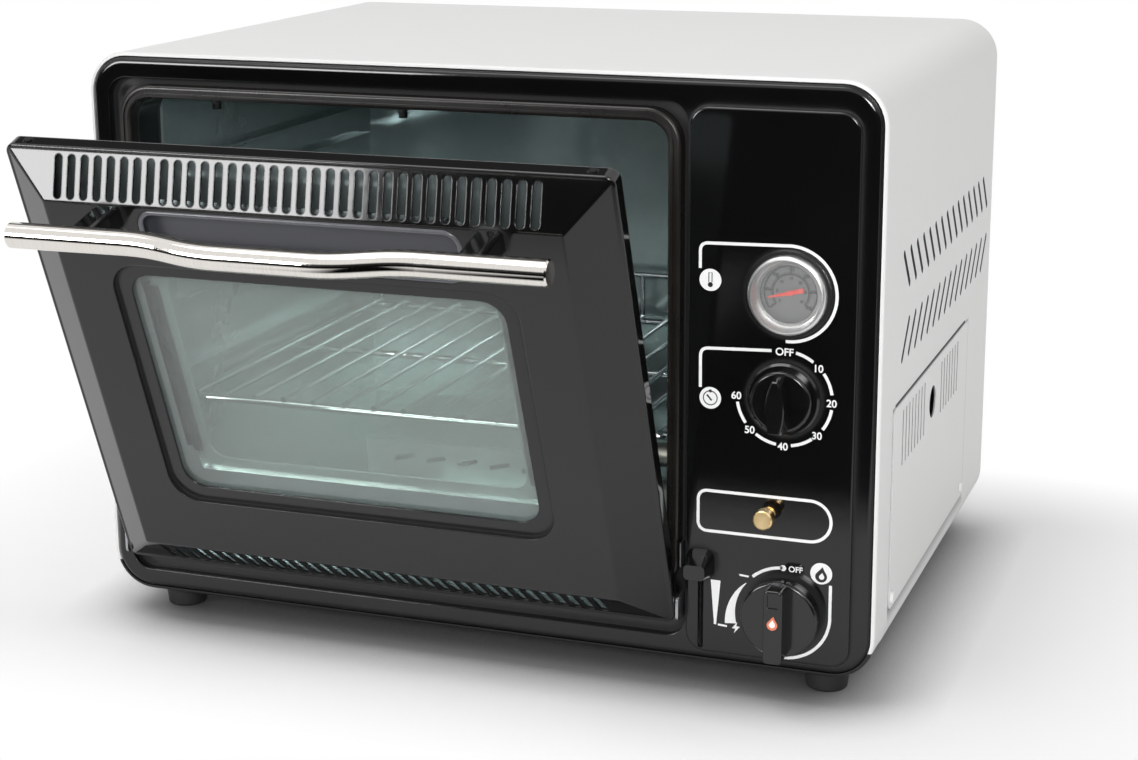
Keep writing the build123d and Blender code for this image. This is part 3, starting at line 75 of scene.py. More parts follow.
def add(tree, node, inputs=None, **settings):
    """Adds a node of a kind, or takes one that is there, with its settings made and its inputs
    set. An input is a number, a hex colour, a socket, or a node for that node's first output."""
    if isinstance(node, str):
        node = tree.nodes.new(node)
    for key, value in settings.items():
        setattr(node, key, value)
    for key, value in (inputs or {}).items():
        if isinstance(value, str):
            value = (*linear(value), 1)
        if isinstance(value, bpy.types.Node):
            value = next(s for s in value.outputs if s.enabled)
        if isinstance(value, bpy.types.NodeSocket):
            tree.links.new(value, node.inputs[key])
        else:
            node.inputs[key].default_value = value
    return node


def lamp(name, where, target, size, watts, gloss_only=False):
    """A rectangular soft lamp aimed at a point, kept out of the camera's sight."""
    data = bpy.data.lights.new(name, "AREA")
    data.shape = "RECTANGLE"
    data.size, data.size_y = size
    data.energy = watts
    light = bpy.data.objects.new(name, data)
    bpy.context.scene.collection.objects.link(light)
    light.location = where
    light.rotation_euler = (Vector(target) - Vector(where)).to_track_quat("-Z", "Y").to_euler()
    light.visible_camera = False
    light.visible_diffuse = not gloss_only
    return light


world = bpy.data.worlds.new("studio")
bpy.context.scene.world = world
world.use_nodes = True
tree = world.node_tree
tree.nodes.clear()
path = add(tree, "ShaderNodeLightPath")
way = add(tree, "ShaderNodeTexCoord").outputs["Generated"]
aim = add(tree, "ShaderNodeSeparateXYZ", {"Vector": way})
# The room's own soft light grows from the skirting to the ceiling.
dome = add(tree, "ShaderNodeMapRange", {"Value": aim.outputs["Z"], "From Max": 0.8,
                                        "To Min": 0.25, "To Max": 0.5})
# Mirrored in the oven are dark walls in front and beside it, a white ceiling and a white wall
# behind it, each fading in over a range of the ray's rise or depth.
ceiling = add(tree, "ShaderNodeMapRange", {"Value": aim.outputs["Z"], "From Min": 0.19,
                                           "From Max": 0.34, "To Min": 0.02})
behind = add(tree, "ShaderNodeMapRange", {"Value": aim.outputs["Y"], "From Min": -0.3,
                                          "From Max": 0.3})
mirrored = add(tree, "ShaderNodeMath", {0: ceiling, 1: behind}, operation="MAXIMUM")
# A dark hatch in the ceiling, up and behind to the left, is what the door's top edge mirrors.
HATCH_WAY = (-0.44, 0.52, 0.73)
off = add(tree, "ShaderNodeVectorMath", {0: way, 1: HATCH_WAY},
          operation="DISTANCE").outputs["Value"]
hatch = add(tree, "ShaderNodeMapRange", {"Value": off, "From Min": 0.16, "From Max": 0.24,
                                         "To Min": 0.12})
mirrored = add(tree, "ShaderNodeMath", {0: mirrored, 1: hatch}, operation="MINIMUM")
seen = add(tree, "ShaderNodeMath", {0: path.outputs["Is Camera Ray"],
                                    1: path.outputs["Is Transmission Ray"]}, operation="MAXIMUM")
strength = add(tree, "ShaderNodeMix", {"Factor": path.outputs["Is Glossy Ray"], "A": dome,
                                       "B": mirrored}, data_type="FLOAT")
strength = add(tree, "ShaderNodeMix", {"Factor": seen, "A": strength, "B": 1.0}, data_type="FLOAT")
sky = add(tree, "ShaderNodeBackground", {"Color": "#ffffff", "Strength": strength})
add(tree, "ShaderNodeOutputWorld", {"Surface": sky})

# The table is matt white. It takes the oven's shadow in full, and a painted shadow darkens its
# colour near the oven, blacker where the feet stand.
TABLE_HALF = 9.0
PAINTED_CONTACT_SHADE = 0.05
table_mesh = bpy.data.meshes.new("table")
corners = np.array([(-1, -1, 0), (1, -1, 0), (1, 1, 0), (-1, 1, 0)]) * TABLE_HALF
table_mesh.from_pydata(corners.tolist(), [], [(0, 1, 2, 3)])
table = bpy.data.objects.new("table", table_mesh)
bpy.context.scene.collection.objects.link(table)
look = bpy.data.materials.new("white_table")
look.use_nodes = True
tree = look.node_tree
# Painted shadow: ambient occlusion within 50 mm turns the table's colour from white towards near
# black.
near = add(tree, "ShaderNodeAmbientOcclusion", {"Distance": PAINTED_CONTACT_SHADE}, samples=8).outputs["AO"]
tone = add(tree, "ShaderNodeMix", {"Factor": near, "A": "#101010", "B": "#f6f6f6"},
           data_type="RGBA")
shader = add(tree, tree.nodes["Principled BSDF"], {"Base Color": tone, "Roughness": 0.8})
path = add(tree, "ShaderNodeLightPath")
spot = add(tree, "ShaderNodeTexCoord").outputs["Object"]
# Away from the casing the table turns pure white over 130 mm, and over nearly twice that to the
# sides, so that it runs into the white room. To scattered light it is the matt table all over.
FOOTPRINT_MIDDLE, FOOTPRINT_HALF = (0, 0.078, 0), (0.237, 0.169, 0)
SIDEWAYS, SHADOW_REACH = (0.55, 1, 1), 0.13
away = add(tree, "ShaderNodeVectorMath", {0: spot, 1: FOOTPRINT_MIDDLE}, operation="SUBTRACT")
away = add(tree, "ShaderNodeVectorMath", {0: away}, operation="ABSOLUTE")
away = add(tree, "ShaderNodeVectorMath", {0: away, 1: FOOTPRINT_HALF}, operation="SUBTRACT")
away = add(tree, "ShaderNodeVectorMath", {0: away, 1: (0, 0, 0)}, operation="MAXIMUM")
away = add(tree, "ShaderNodeVectorMath", {0: away, 1: SIDEWAYS}, operation="MULTIPLY")
away = add(tree, "ShaderNodeVectorMath", {0: away}, operation="LENGTH").outputs["Value"]
fade = add(tree, "ShaderNodeMapRange", {"Value": away, "From Max": SHADOW_REACH})
scattered = add(tree, "ShaderNodeMath", {0: fade, 1: path.outputs["Is Diffuse Ray"]},
                operation="SUBTRACT", use_clamp=True)
white = add(tree, "ShaderNodeEmission", {"Color": "#ffffff", "Strength": 1.0})
lit = add(tree, "ShaderNodeMixShader", {0: scattered, 1: shader, 2: white})
# The oven mirrors a table that is dark from 0.45 m in front on the right, and from about 1.1 m
# in front all across. What a mirrored pane shows of the table is dark as well.
place = add(tree, "ShaderNodeSeparateXYZ", {"Vector": spot})
ahead, to_right, far_off = (
    add(tree, "ShaderNodeMapRange", {"Value": place.outputs[axis], "From Min": start,
                                     "From Max": end})
    for axis, start, end in (("Y", -0.38, -0.48), ("X", -0.25, -0.08), ("Y", -0.9, -1.3)))
unlit = add(tree, "ShaderNodeMath", {0: ahead, 1: to_right}, operation="MULTIPLY")
unlit = add(tree, "ShaderNodeMath", {0: unlit, 1: far_off}, operation="MAXIMUM")
unlit = add(tree, "ShaderNodeMath", {0: unlit, 1: path.outputs["Is Glossy Ray"]},
            operation="MULTIPLY")
through = add(tree, "ShaderNodeMath", {0: path.outputs["Glossy Depth"], 1: 0.5},
              operation="GREATER_THAN")
through = add(tree, "ShaderNodeMath", {0: through, 1: path.outputs["Is Transmission Ray"]},
              operation="MULTIPLY")
unlit = add(tree, "ShaderNodeMath", {0: unlit, 1: through}, operation="MAXIMUM")
black = add(tree, "ShaderNodeEmission", {"Color": "#000000", "Strength": 0.0})
table_look = add(tree, "ShaderNodeMixShader", {0: unlit, 1: lit, 2: black})
add(tree, tree.nodes["Material Output"], {"Surface": table_look})
table_mesh.materials.append(look)

# Three soft boxes light the oven, and a window on the left shows only in what mirrors it.
lamp("overhead_softbox", (-0.55, -0.55, 2.2), (0, 0, 0.3), (1.3, 1.2), 17)
lamp("right_softbox", (1.9, -0.3, 2.0), (0.2, 0, 0.3), (1.0, 1.0), 4)
lamp("front_softbox", (0.65, -1.95, 0.80), (0, 0, 0.25), (0.5, 0.4), 22)
lamp("left_window", (-1.19, -1.69, 0.66), (-0.15, -0.2, 0.3), (0.86, 0.54), 24, gloss_only=True)


# ---------------------------------------------------------------- casing
# One sheet of steel folded into top, sides and bottom, with a screwed access panel on the right.
# Its polyester powder coat, on the screws too, is pale and satin with a fine orange peel.
MM = 0.001


def finish(name, **sockets):
    """A new material: its tree, its shader with plain sockets set, and the piece's own
    coordinates in millimetres."""
    look = bpy.data.materials.new(name)
    look.use_nodes = True
    tree = look.node_tree
    plain = {key.replace("_", " "): value for key, value in sockets.items()}
    shader = add(tree, tree.nodes["Principled BSDF"], plain)
    own = add(tree, "ShaderNodeTexCoord").outputs["Object"]
    where = add(tree, "ShaderNodeVectorMath", {0: own, 1: (1 / MM, 1 / MM, 1 / MM)},
                operation="MULTIPLY")
    return look, tree, shader, where


def drifting(tree, where, size, detail, tones, glosses):
    """A tone and a gloss that drift together between two values, in patches of a size in
    millimetres."""
    drift = add(tree, "ShaderNodeTexNoise", {"Vector": where, "Scale": 1 / size,
                                             "Detail": detail})
    tone = add(tree, "ShaderNodeMix", {"Factor": drift, "A": tones[0], "B": tones[1]},
               data_type="RGBA")
    gloss = add(tree, "ShaderNodeMapRange", {"Value": drift, "To Min": glosses[0],
                                             "To Max": glosses[1]})
    return tone, gloss


def bumps(tree, where, size, detail, strength, depth):
    """A skin that rises and sinks in patches of a size, by a depth, both in millimetres."""
    height = add(tree, "ShaderNodeTexNoise", {"Vector": where, "Scale": 1 / size,
                                              "Detail": detail})
    return add(tree, "ShaderNodeBump", {"Height": height, "Strength": strength,
                                        "Distance": depth * MM})


def coat(look, *names):
    """Gives CAD nodes a material."""
    for name in names:
        nodes[name].data.materials.clear()
        nodes[name].data.materials.append(look)


# The faces of the sides, the hem under the front, and the outline of the access panel, which
# stands 1 mm proud of the right side.
CASE_HALF, SLOTS_MIDDLE, SLOTS_REACH, SLOTS_FRONT = 237.3, 180.0, 120.0, -80.0
HEM_REAR, HEM_TOP = -70.0, 33.0
PANEL_FRONT, PANEL_REAR, PANEL_LOW, PANEL_HIGH, PANEL_SHEET = -58.0, 167.0, 47.0, 163.0, 1.0
EDGE_Y, EDGE_Z = 2.5, 2.0
# Reach of the painted shadow round the access panel, in millimetres.
PANEL_SHADOW_REACH = 9.0


def between(low, high):
    """The middle and the reach of a range, as a comparing node takes them."""
    return (low + high) / 2, (high - low) / 2


look, tree, shader, where = finish("polyester_powder_coat", Metallic=0.0, IOR=1.5)
tone, gloss = drifting(tree, where, size=80, detail=3, tones=("#dededc", "#e4e4e3"),
                       glosses=(0.36, 0.5))
apart = add(tree, "ShaderNodeSeparateXYZ", {"Vector": where})
across = add(tree, "ShaderNodeMath", {0: apart.outputs["X"]}, operation="ABSOLUTE")
# Everything under the side's outer face, in and behind the slots, is drawn dark grey: the bare
# steel of the edges punched after coating, and painted shade for the dark inside of the openings.
bare_steel_and_shade = add(tree, "ShaderNodeMath", {0: across, 1: CASE_HALF - 0.05}, operation="LESS_THAN")
side = add(tree, "ShaderNodeMath", {0: across, 1: CASE_HALF - 2.0}, operation="GREATER_THAN")
level = add(tree, "ShaderNodeMath", {0: apart.outputs["Z"], 1: SLOTS_MIDDLE, 2: SLOTS_REACH},
            operation="COMPARE")
front = add(tree, "ShaderNodeMath", {0: apart.outputs["Y"], 1: SLOTS_FRONT},
            operation="LESS_THAN")
bare_steel_and_shade = add(tree, "ShaderNodeMath", {0: bare_steel_and_shade, 1: front}, operation="SUBTRACT", use_clamp=True)
bare_steel_and_shade = add(tree, "ShaderNodeMath", {0: bare_steel_and_shade, 1: side}, operation="MULTIPLY")
bare_steel_and_shade = add(tree, "ShaderNodeMath", {0: bare_steel_and_shade, 1: level}, operation="MULTIPLY")
tone = add(tree, "ShaderNodeMix", {"Factor": bare_steel_and_shade, "A": tone, "B": "#4a4b4c"}, data_type="RGBA")
# The panel's edges are drawn a darker grey, and its grooves darker still: painted shade along the
# edges and in the grooves.
panel_edge_shade = add(tree, "ShaderNodeMath", {0: across, 1: CASE_HALF + PANEL_SHEET / 2,
                                     2: 0.42 * PANEL_SHEET}, operation="COMPARE")
tone = add(tree, "ShaderNodeMix", {"Factor": panel_edge_shade, "A": tone, "B": "#bfc1c1"}, data_type="RGBA")
for axis, low, high in (("Y", PANEL_FRONT + EDGE_Y, PANEL_REAR - EDGE_Y),
                        ("Z", PANEL_LOW + EDGE_Z, PANEL_HIGH - EDGE_Z)):
    middle, reach = between(low, high)
    near = add(tree, "ShaderNodeMath", {0: apart.outputs[axis], 1: middle, 2: reach},
               operation="COMPARE")
    panel_edge_shade = add(tree, "ShaderNodeMath", {0: panel_edge_shade, 1: near}, operation="MULTIPLY")
# Painted shade in the panel's grooves, darker than along its edges.
tone = add(tree, "ShaderNodeMix", {"Factor": panel_edge_shade, "A": tone, "B": "#9a9b9b"}, data_type="RGBA")
# A painted shadow darkens the casing under the panel and behind it, and thins out over 9 mm.
beyond = add(tree, "ShaderNodeMath", {0: apart.outputs["Y"], 1: PANEL_REAR},
             operation="SUBTRACT")
below = add(tree, "ShaderNodeMath", {0: PANEL_LOW, 1: apart.outputs["Z"]}, operation="SUBTRACT")
beyond = add(tree, "ShaderNodeMath", {0: beyond, 1: below}, operation="MAXIMUM")
panel_shadow = add(tree, "ShaderNodeMapRange", {"Value": beyond, "From Max": PANEL_SHADOW_REACH, "To Min": 1.0,
                                        "To Max": 0.0})
for axis, low, high in (("X", CASE_HALF - 1.1, CASE_HALF + 0.1),
                        ("Y", PANEL_FRONT, PANEL_REAR + PANEL_SHADOW_REACH),
                        ("Z", PANEL_LOW - PANEL_SHADOW_REACH, PANEL_HIGH)):
    middle, reach = between(low, high)
    near = add(tree, "ShaderNodeMath", {0: apart.outputs[axis], 1: middle, 2: reach},
               operation="COMPARE")
    panel_shadow = add(tree, "ShaderNodeMath", {0: panel_shadow, 1: near}, operation="MULTIPLY")
# Painted shadow under and behind the panel.
tone = add(tree, "ShaderNodeMix", {"Factor": panel_shadow, "A": tone, "B": "#727474"}, data_type="RGBA")
# The hem under the front is drawn near black, round the lower corners too.
front = add(tree, "ShaderNodeMath", {0: apart.outputs["Y"], 1: HEM_REAR}, operation="LESS_THAN")
under = add(tree, "ShaderNodeMath", {0: apart.outputs["Z"], 1: HEM_TOP}, operation="LESS_THAN")
hem = add(tree, "ShaderNodeMath", {0: front, 1: under}, operation="MULTIPLY")
tone = add(tree, "ShaderNodeMix", {"Factor": hem, "A": tone, "B": "#0b0b0b"}, data_type="RGBA")
# Orange peel is about 0.8 mm across, and is drawn at 1.6 mm so that it shows.
skin = bumps(tree, where, size=1.6, detail=2, strength=0.12, depth=0.2)
add(tree, shader, {"Base Color": tone, "Roughness": gloss, "Normal": skin})
coat(look, "casing_wrap", "access_panel", "case_screws")

# ---------------------------------------------------------------- plated steel
# The rear panel, brackets, shield, spindles, pins and the feet's screws are pressed or turned
# from mild steel and zinc plated, which leaves a cool grey with streaks along the sheet.
look, tree, shader, where = finish("zinc_plated_steel", Metallic=1.0)
# Rolling streaks are drawn 1.5 mm wide and 25 mm long.
streak = add(tree, "ShaderNodeMapping", {"Vector": where, "Scale": (1 / 1.5, 1 / 1.5, 1 / 25)})
streak = add(tree, "ShaderNodeTexNoise", {"Vector": streak, "Scale": 1.0, "Detail": 4})
tone = add(tree, "ShaderNodeMix", {"Factor": streak, "A": "#8f9292", "B": "#b4b7b8"},
           data_type="RGBA")
cloud = add(tree, "ShaderNodeTexNoise", {"Vector": where, "Scale": 1 / 6, "Detail": 3})
gloss = add(tree, "ShaderNodeMapRange", {"Value": cloud, "To Min": 0.22, "To Max": 0.5})
skin = add(tree, "ShaderNodeBump", {"Height": streak, "Strength": 0.1, "Distance": 0.0001})
add(tree, shader, {"Base Color": tone, "Roughness": gloss, "Normal": skin})
coat(look, "rear_panel", "foot_screws", "liner_supports", "control_shield",
     "hinge_bracket_left", "hinge_bracket_right", "door_catches", "hinge_pin_left",
     "hinge_pin_right", "timer_spindle", "gas_spindle", "damper_plate", "thermometer_case")

# ---------------------------------------------------------------- feet
# Four turned-up cups of moulded black rubber, screwed on from below. The mould leaves them dull
# and a little cloudy.
look, tree, shader, where = finish("moulded_rubber", Metallic=0.0, IOR=1.52)
tone, gloss = drifting(tree, where, size=9, detail=5, tones=("#141414", "#212121"),
                       glosses=(0.5, 0.8))
skin = bumps(tree, where, size=1.2, detail=2, strength=0.25, depth=0.2)
add(tree, shader, {"Base Color": tone, "Roughness": gloss, "Normal": skin})
coat(look, "foot_front_left", "foot_front_right", "foot_rear_left", "foot_rear_right")

# ---------------------------------------------------------------- enamelled front and door
# The front panel, the collar of the oven's mouth and the door's outer pressing are deep drawn
# steel under vitreous enamel: near black, mirror bright, with a broad and very shallow ripple.
DOOR_LEAN = math.radians(21.3)
DOOR_OUT = (0.0, -math.cos(DOOR_LEAN), -math.sin(DOOR_LEAN))
DOOR_UP = (0.0, -math.sin(DOOR_LEAN), math.cos(DOOR_LEAN))
# Along DOOR_OUT lie the door's face and the floor of its finger pocket. The pocket runs from left
# to right along x and from low to high along DOOR_UP, and TURN is the radius of its corners.
FACE_DEPTH, POCKET_DEPTH, POCKET_PLAY = 93.5, 9.0, 3.0
LEFT, RIGHT, LOW, HIGH, TURN = -139.5, 46.5, 303.2, 335.2, 10.0
SOOT = 7 * MM
EDGE_ROLL = 1 * MM
look, tree, shader, where = finish("vitreous_black_enamel", Metallic=0.0, IOR=1.5)
tone, gloss = drifting(tree, where, size=70, detail=4, tones=("#070707", "#0d0d0d"),
                       glosses=(0.03, 0.12))
# Inside the finger pocket, 9 mm behind the door's face, the enamel is drawn grey as a painted
# sheen, and is duller.
depth = add(tree, "ShaderNodeVectorMath", {0: where, 1: DOOR_OUT}, operation="DOT_PRODUCT")
rise = add(tree, "ShaderNodeVectorMath", {0: where, 1: DOOR_UP}, operation="DOT_PRODUCT")
apart = add(tree, "ShaderNodeSeparateXYZ", {"Vector": where})
pocket_sheen = add(tree, "ShaderNodeMath", {0: depth.outputs["Value"], 1: FACE_DEPTH - POCKET_DEPTH,
                                    2: POCKET_PLAY}, operation="COMPARE")
for place, low, high in ((rise.outputs["Value"], LOW, HIGH), (apart.outputs["X"], LEFT, RIGHT)):
    middle, reach = between(low, high)
    near = add(tree, "ShaderNodeMath", {0: place, 1: middle, 2: reach}, operation="COMPARE")
    pocket_sheen = add(tree, "ShaderNodeMath", {0: pocket_sheen, 1: near}, operation="MULTIPLY")
tone = add(tree, "ShaderNodeMix", {"Factor": pocket_sheen, "A": tone, "B": "#3a3b40"}, data_type="RGBA")
gloss = add(tree, "ShaderNodeMix", {"Factor": pocket_sheen, "A": gloss, "B": 0.3}, data_type="FLOAT")
# Corners less than 7 mm deep hold old grease and soot, which take the shine away.
corner = add(tree, "ShaderNodeAmbientOcclusion", {"Distance": SOOT}, samples=8).outputs["AO"]
clear = add(tree, "ShaderNodeMapRange", {"Value": corner, "From Min": 0.6, "From Max": 0.9})
gloss = add(tree, "ShaderNodeMix", {"Factor": clear, "A": 0.8, "B": gloss}, data_type="FLOAT")
# Fired enamel ripples every 7 mm, and draws back from each cut edge into a roll 1 mm in radius.
skin = bumps(tree, where, size=7, detail=1, strength=0.05, depth=0.3)
add(tree, skin, {"Normal": add(tree, "ShaderNodeBevel", {"Radius": EDGE_ROLL}, samples=6)})
add(tree, shader, {"Base Color": tone, "Roughness": gloss, "Normal": skin})
coat(look, "front_fascia", "cavity_throat", "door_outer")

# ---------------------------------------------------------------- pocket bead
# The finger pocket in the door has a rolled bead round its mouth, pressed with the door and
# enamelled with it, so that fingers meet no edge.
BEAD, BEAD_SUNK = 1.5, 0.6
AROUND, ACROSS = 60, 15


def bead(radius):
    """A torus drawn out to a rounded rectangle: at each angle a of the outline, a circle of the
    radius given lies in the plane of a and the door's normal, at TURN - radius from the corner's
    centre. Across the door is x, up the door is s and out of it is n."""
    outline = np.radians(np.arange(AROUND) * 360 / AROUND)[:, None]
    circle = np.radians(np.arange(ACROSS) * 360 / ACROSS)[None]
    corner = np.arange(AROUND) * 4 // AROUND
    centre_x = np.array([RIGHT - TURN, LEFT + TURN, LEFT + TURN, RIGHT - TURN])[corner, None]
    centre_s = np.array([HIGH - TURN, HIGH - TURN, LOW + TURN, LOW + TURN])[corner, None]
    reach = TURN - radius + radius * np.cos(circle)
    x = centre_x + reach * np.cos(outline)
    s = centre_s + reach * np.sin(outline)
    n = FACE_DEPTH - BEAD_SUNK + radius * np.sin(circle) + 0 * x
    places = x[..., None] * (1, 0, 0) + s[..., None] * DOOR_UP + n[..., None] * DOOR_OUT
    row, column = np.meshgrid(np.arange(AROUND), np.arange(ACROSS), indexing="ij")
    after, beside = (row + 1) % AROUND, (column + 1) % ACROSS
    faces = np.stack([ACROSS * row + column, ACROSS * after + column, ACROSS * after + beside,
                      ACROSS * row + beside], -1)
    return places.reshape(-1, 3) * MM, faces.reshape(-1, 4)


# The bead is drawn mid grey: a painted highlight for the light its rounded top catches.
look, tree, shader, where = finish("bead_enamel_painted_highlight", Metallic=0.0, IOR=1.5)
tone, gloss = drifting(tree, where, size=9, detail=3, tones=("#4b4c50", "#626368"),
                       glosses=(0.18, 0.3))
add(tree, shader, {"Base Color": tone, "Roughness": gloss})
points, faces = bead(BEAD)
mesh = bpy.data.meshes.new("pocket_bead")
mesh.from_pydata(points.tolist(), [], faces.tolist())
mesh.shade_smooth()
mesh.materials.append(look)
piece = bpy.data.objects.new("pocket_bead", mesh)
bpy.context.scene.collection.objects.link(piece)
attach(piece, "door")

# ---------------------------------------------------------------- seals
# The door seal is an extruded silicone hollow with two lips, clipped round the oven's mouth; the
# window gasket is the same rubber. Silicone is brown-grey, smooth and a little waxy.
look, tree, shader, where = finish("extruded_silicone", Metallic=0.0, IOR=1.43)
tone, gloss = drifting(tree, where, size=22, detail=4, tones=("#100e0c", "#1d1917"),
                       glosses=(0.2, 0.38))
skin = bumps(tree, where, size=3, detail=2, strength=0.08, depth=0.3)
add(tree, shader, {"Base Color": tone, "Roughness": gloss, "Normal": skin})
coat(look, "door_seal", "window_gasket")

# ---------------------------------------------------------------- oven cavity
# Liner, side rails, burner cover and the door's inner pan are hot-dip galvanised sheet: a soft
# blue-grey metal whose zinc crystals differ a little in tone and in gloss.
look, tree, shader, where = finish("hot_dip_galvanised_steel", Metallic=0.7)
# The crystals, or spangle, are 9 mm across.
spangle = add(tree, "ShaderNodeTexVoronoi", {"Vector": where, "Scale": 1 / 9})
spangle = add(tree, "ShaderNodeSeparateColor", {"Color": spangle.outputs["Color"]})
cloud = add(tree, "ShaderNodeTexNoise", {"Vector": where, "Scale": 1 / 60, "Detail": 4})
mottle = add(tree, "ShaderNodeMix", {"Factor": 0.75, "A": spangle.outputs["Red"], "B": cloud},
             data_type="FLOAT")
tone = add(tree, "ShaderNodeMix", {"Factor": mottle, "A": "#98a6a7", "B": "#aab6b6"},
           data_type="RGBA")
gloss = add(tree, "ShaderNodeMapRange", {"Value": spangle.outputs["Green"], "To Min": 0.15,
                                         "To Max": 0.21})
skin = bumps(tree, where, size=35, detail=2, strength=0.1, depth=1)
add(tree, shader, {"Base Color": tone, "Roughness": gloss, "Normal": skin})
coat(look, "cavity_liner", "rack_rail_left", "rack_rail_right", "burner_cover", "door_inner")

# ---------------------------------------------------------------- insulation
# A loose blanket of mineral fibre is wrapped round the liner and held by the casing. It is
# straw coloured, matted in layers and quite dull.
look, tree, shader, where = finish("mineral_wool", Metallic=0.0, Roughness=0.95)
# Matted fibre, in tufts 8 mm long and 2 mm high.
tuft = add(tree, "ShaderNodeMapping", {"Vector": where, "Scale": (1 / 8, 1 / 8, 1 / 2)})
tuft = add(tree, "ShaderNodeTexNoise", {"Vector": tuft, "Scale": 1.0, "Detail": 6})
tone = add(tree, "ShaderNodeMix", {"Factor": tuft, "A": "#a5976f", "B": "#d5caa8"},
           data_type="RGBA")
skin = add(tree, "ShaderNodeBump", {"Height": tuft, "Strength": 0.9, "Distance": 0.002})
add(tree, shader, {"Base Color": tone, "Normal": skin})
coat(look, "insulation_blanket")

# ---------------------------------------------------------------- rack
# The rack is bent and spot-welded from steel wire, slides in the side rails, and is plated with
# bright chrome, which has a faint haze from handling.
look, tree, shader, where = finish("chrome_plated_wire", Metallic=1.0)
tone, gloss = drifting(tree, where, size=18, detail=4, tones=("#d4d6d8", "#e6e8ea"),
                       glosses=(0.05, 0.18))
add(tree, shader, {"Base Color": tone, "Roughness": gloss})
coat(look, "wire_rack")

# ---------------------------------------------------------------- burner
# The burner tube and the bracket that carries it under the cover are pressed from aluminised
# steel, which the flame tints straw and blue.
look, tree, shader, where = finish("heat_tinted_aluminised_steel", Metallic=1.0)
# Heat tint drifts over 30 mm.
tone, gloss = drifting(tree, where, size=30, detail=4, tones=("#8d97a1", "#b3a386"),
                       glosses=(0.3, 0.5))
add(tree, shader, {"Base Color": tone, "Roughness": gloss})
coat(look, "burner_tube", "burner_bracket")

# The spark electrode stands in a turned and glazed insulator of white alumina.
look, tree, shader, where = finish("glazed_alumina", Metallic=0.0, IOR=1.55)
tone, gloss = drifting(tree, where, size=10, detail=3, tones=("#d9d4c8", "#ebe7dd"),
                       glosses=(0.12, 0.28))
add(tree, shader, {"Base Color": tone, "Roughness": gloss})
coat(look, "spark_electrode")

# ---------------------------------------------------------------- gas train
# Jet, inlet, flame-failure valve and its button are turned from brass bar, and the tool leaves
# fine rings that catch the light.
look, tree, shader, where = finish("turned_brass", Metallic=1.0)
tone, gloss = drifting(tree, where, size=5, detail=5, tones=("#e8c07a", "#fbe6ba"),
                       glosses=(0.2, 0.42))
# The tool rings are 0.3 mm apart, and are drawn 1 mm apart so that they show. A wave repeats
# every 0.314 mm at scale 1, and so every millimetre at scale 1 / 3.2.
rings = add(tree, "ShaderNodeTexWave", {"Vector": where, "Scale": 1 / 3.2, "Distortion": 0.6},
            bands_direction="Y")
skin = add(tree, "ShaderNodeBump", {"Height": rings, "Strength": 0.2, "Distance": 0.0001})
add(tree, shader, {"Base Color": tone, "Roughness": gloss, "Normal": skin})
coat(look, "flame_button", "gas_injector", "safety_valve", "gas_inlet")

# The pipes and the thermocouple's lead are drawn copper tube, dulled by handling.
look, tree, shader, where = finish("drawn_copper", Metallic=1.0)
tone, gloss = drifting(tree, where, size=7, detail=5, tones=("#96563a", "#c88560"),
                       glosses=(0.22, 0.45))
add(tree, shader, {"Base Color": tone, "Roughness": gloss})
coat(look, "gas_pipe_inlet", "gas_pipe_valves", "gas_pipe_burner", "thermocouple")

# The tap and the timer have die-cast zinc bodies with a sandy as-cast skin.
look, tree, shader, where = finish("die_cast_zinc", Metallic=1.0)
tone, gloss = drifting(tree, where, size=11, detail=5, tones=("#6b6e71", "#8b8e91"),
                       glosses=(0.42, 0.68))
# As-cast grain, 1.5 mm across.
skin = bumps(tree, where, size=1.5, detail=3, strength=0.4, depth=0.3)
add(tree, shader, {"Base Color": tone, "Roughness": gloss, "Normal": skin})
coat(look, "gas_valve", "timer_valve")

# ---------------------------------------------------------------- knobs, slider and handle posts
# Knobs, slider, igniter and handle posts are moulded from black phenolic, and are pushed or
# screwed on. The tool leaves phenolic with a deep gloss and a faint flow cloud.
look, tree, shader, where = finish("moulded_black_phenolic", Metallic=0.0, IOR=1.55)
tone, gloss = drifting(tree, where, size=14, detail=4, tones=("#080808", "#101010"),
                       glosses=(0.08, 0.2))
skin = bumps(tree, where, size=2.5, detail=2, strength=0.04, depth=0.2)
add(tree, shader, {"Base Color": tone, "Roughness": gloss, "Normal": skin})
coat(look, "timer_knob", "gas_knob", "vent_slider", "handle_post_left", "handle_post_right",
     "piezo_igniter")

# ---------------------------------------------------------------- handle
# A bent stainless tube across the door, buffed bright and faintly warm, with hair lines round it
# from the mop.
look, tree, shader, where = finish("buffed_stainless_steel", Metallic=1.0)
# Hair lines 0.1 mm apart, drawn 0.8 mm apart so that they show.
hair = add(tree, "ShaderNodeMapping", {"Vector": where, "Scale": (1 / 0.8, 1 / 30, 1 / 30)})
hair = add(tree, "ShaderNodeTexNoise", {"Vector": hair, "Scale": 1.0, "Detail": 3})
tone = add(tree, "ShaderNodeMix", {"Factor": hair, "A": "#d6d1cb", "B": "#e9e5e0"},
           data_type="RGBA")
gloss = add(tree, "ShaderNodeMapRange", {"Value": hair, "To Min": 0.04, "To Max": 0.12})
add(tree, shader, {"Base Color": tone, "Roughness": gloss})
coat(look, "handle_bar")

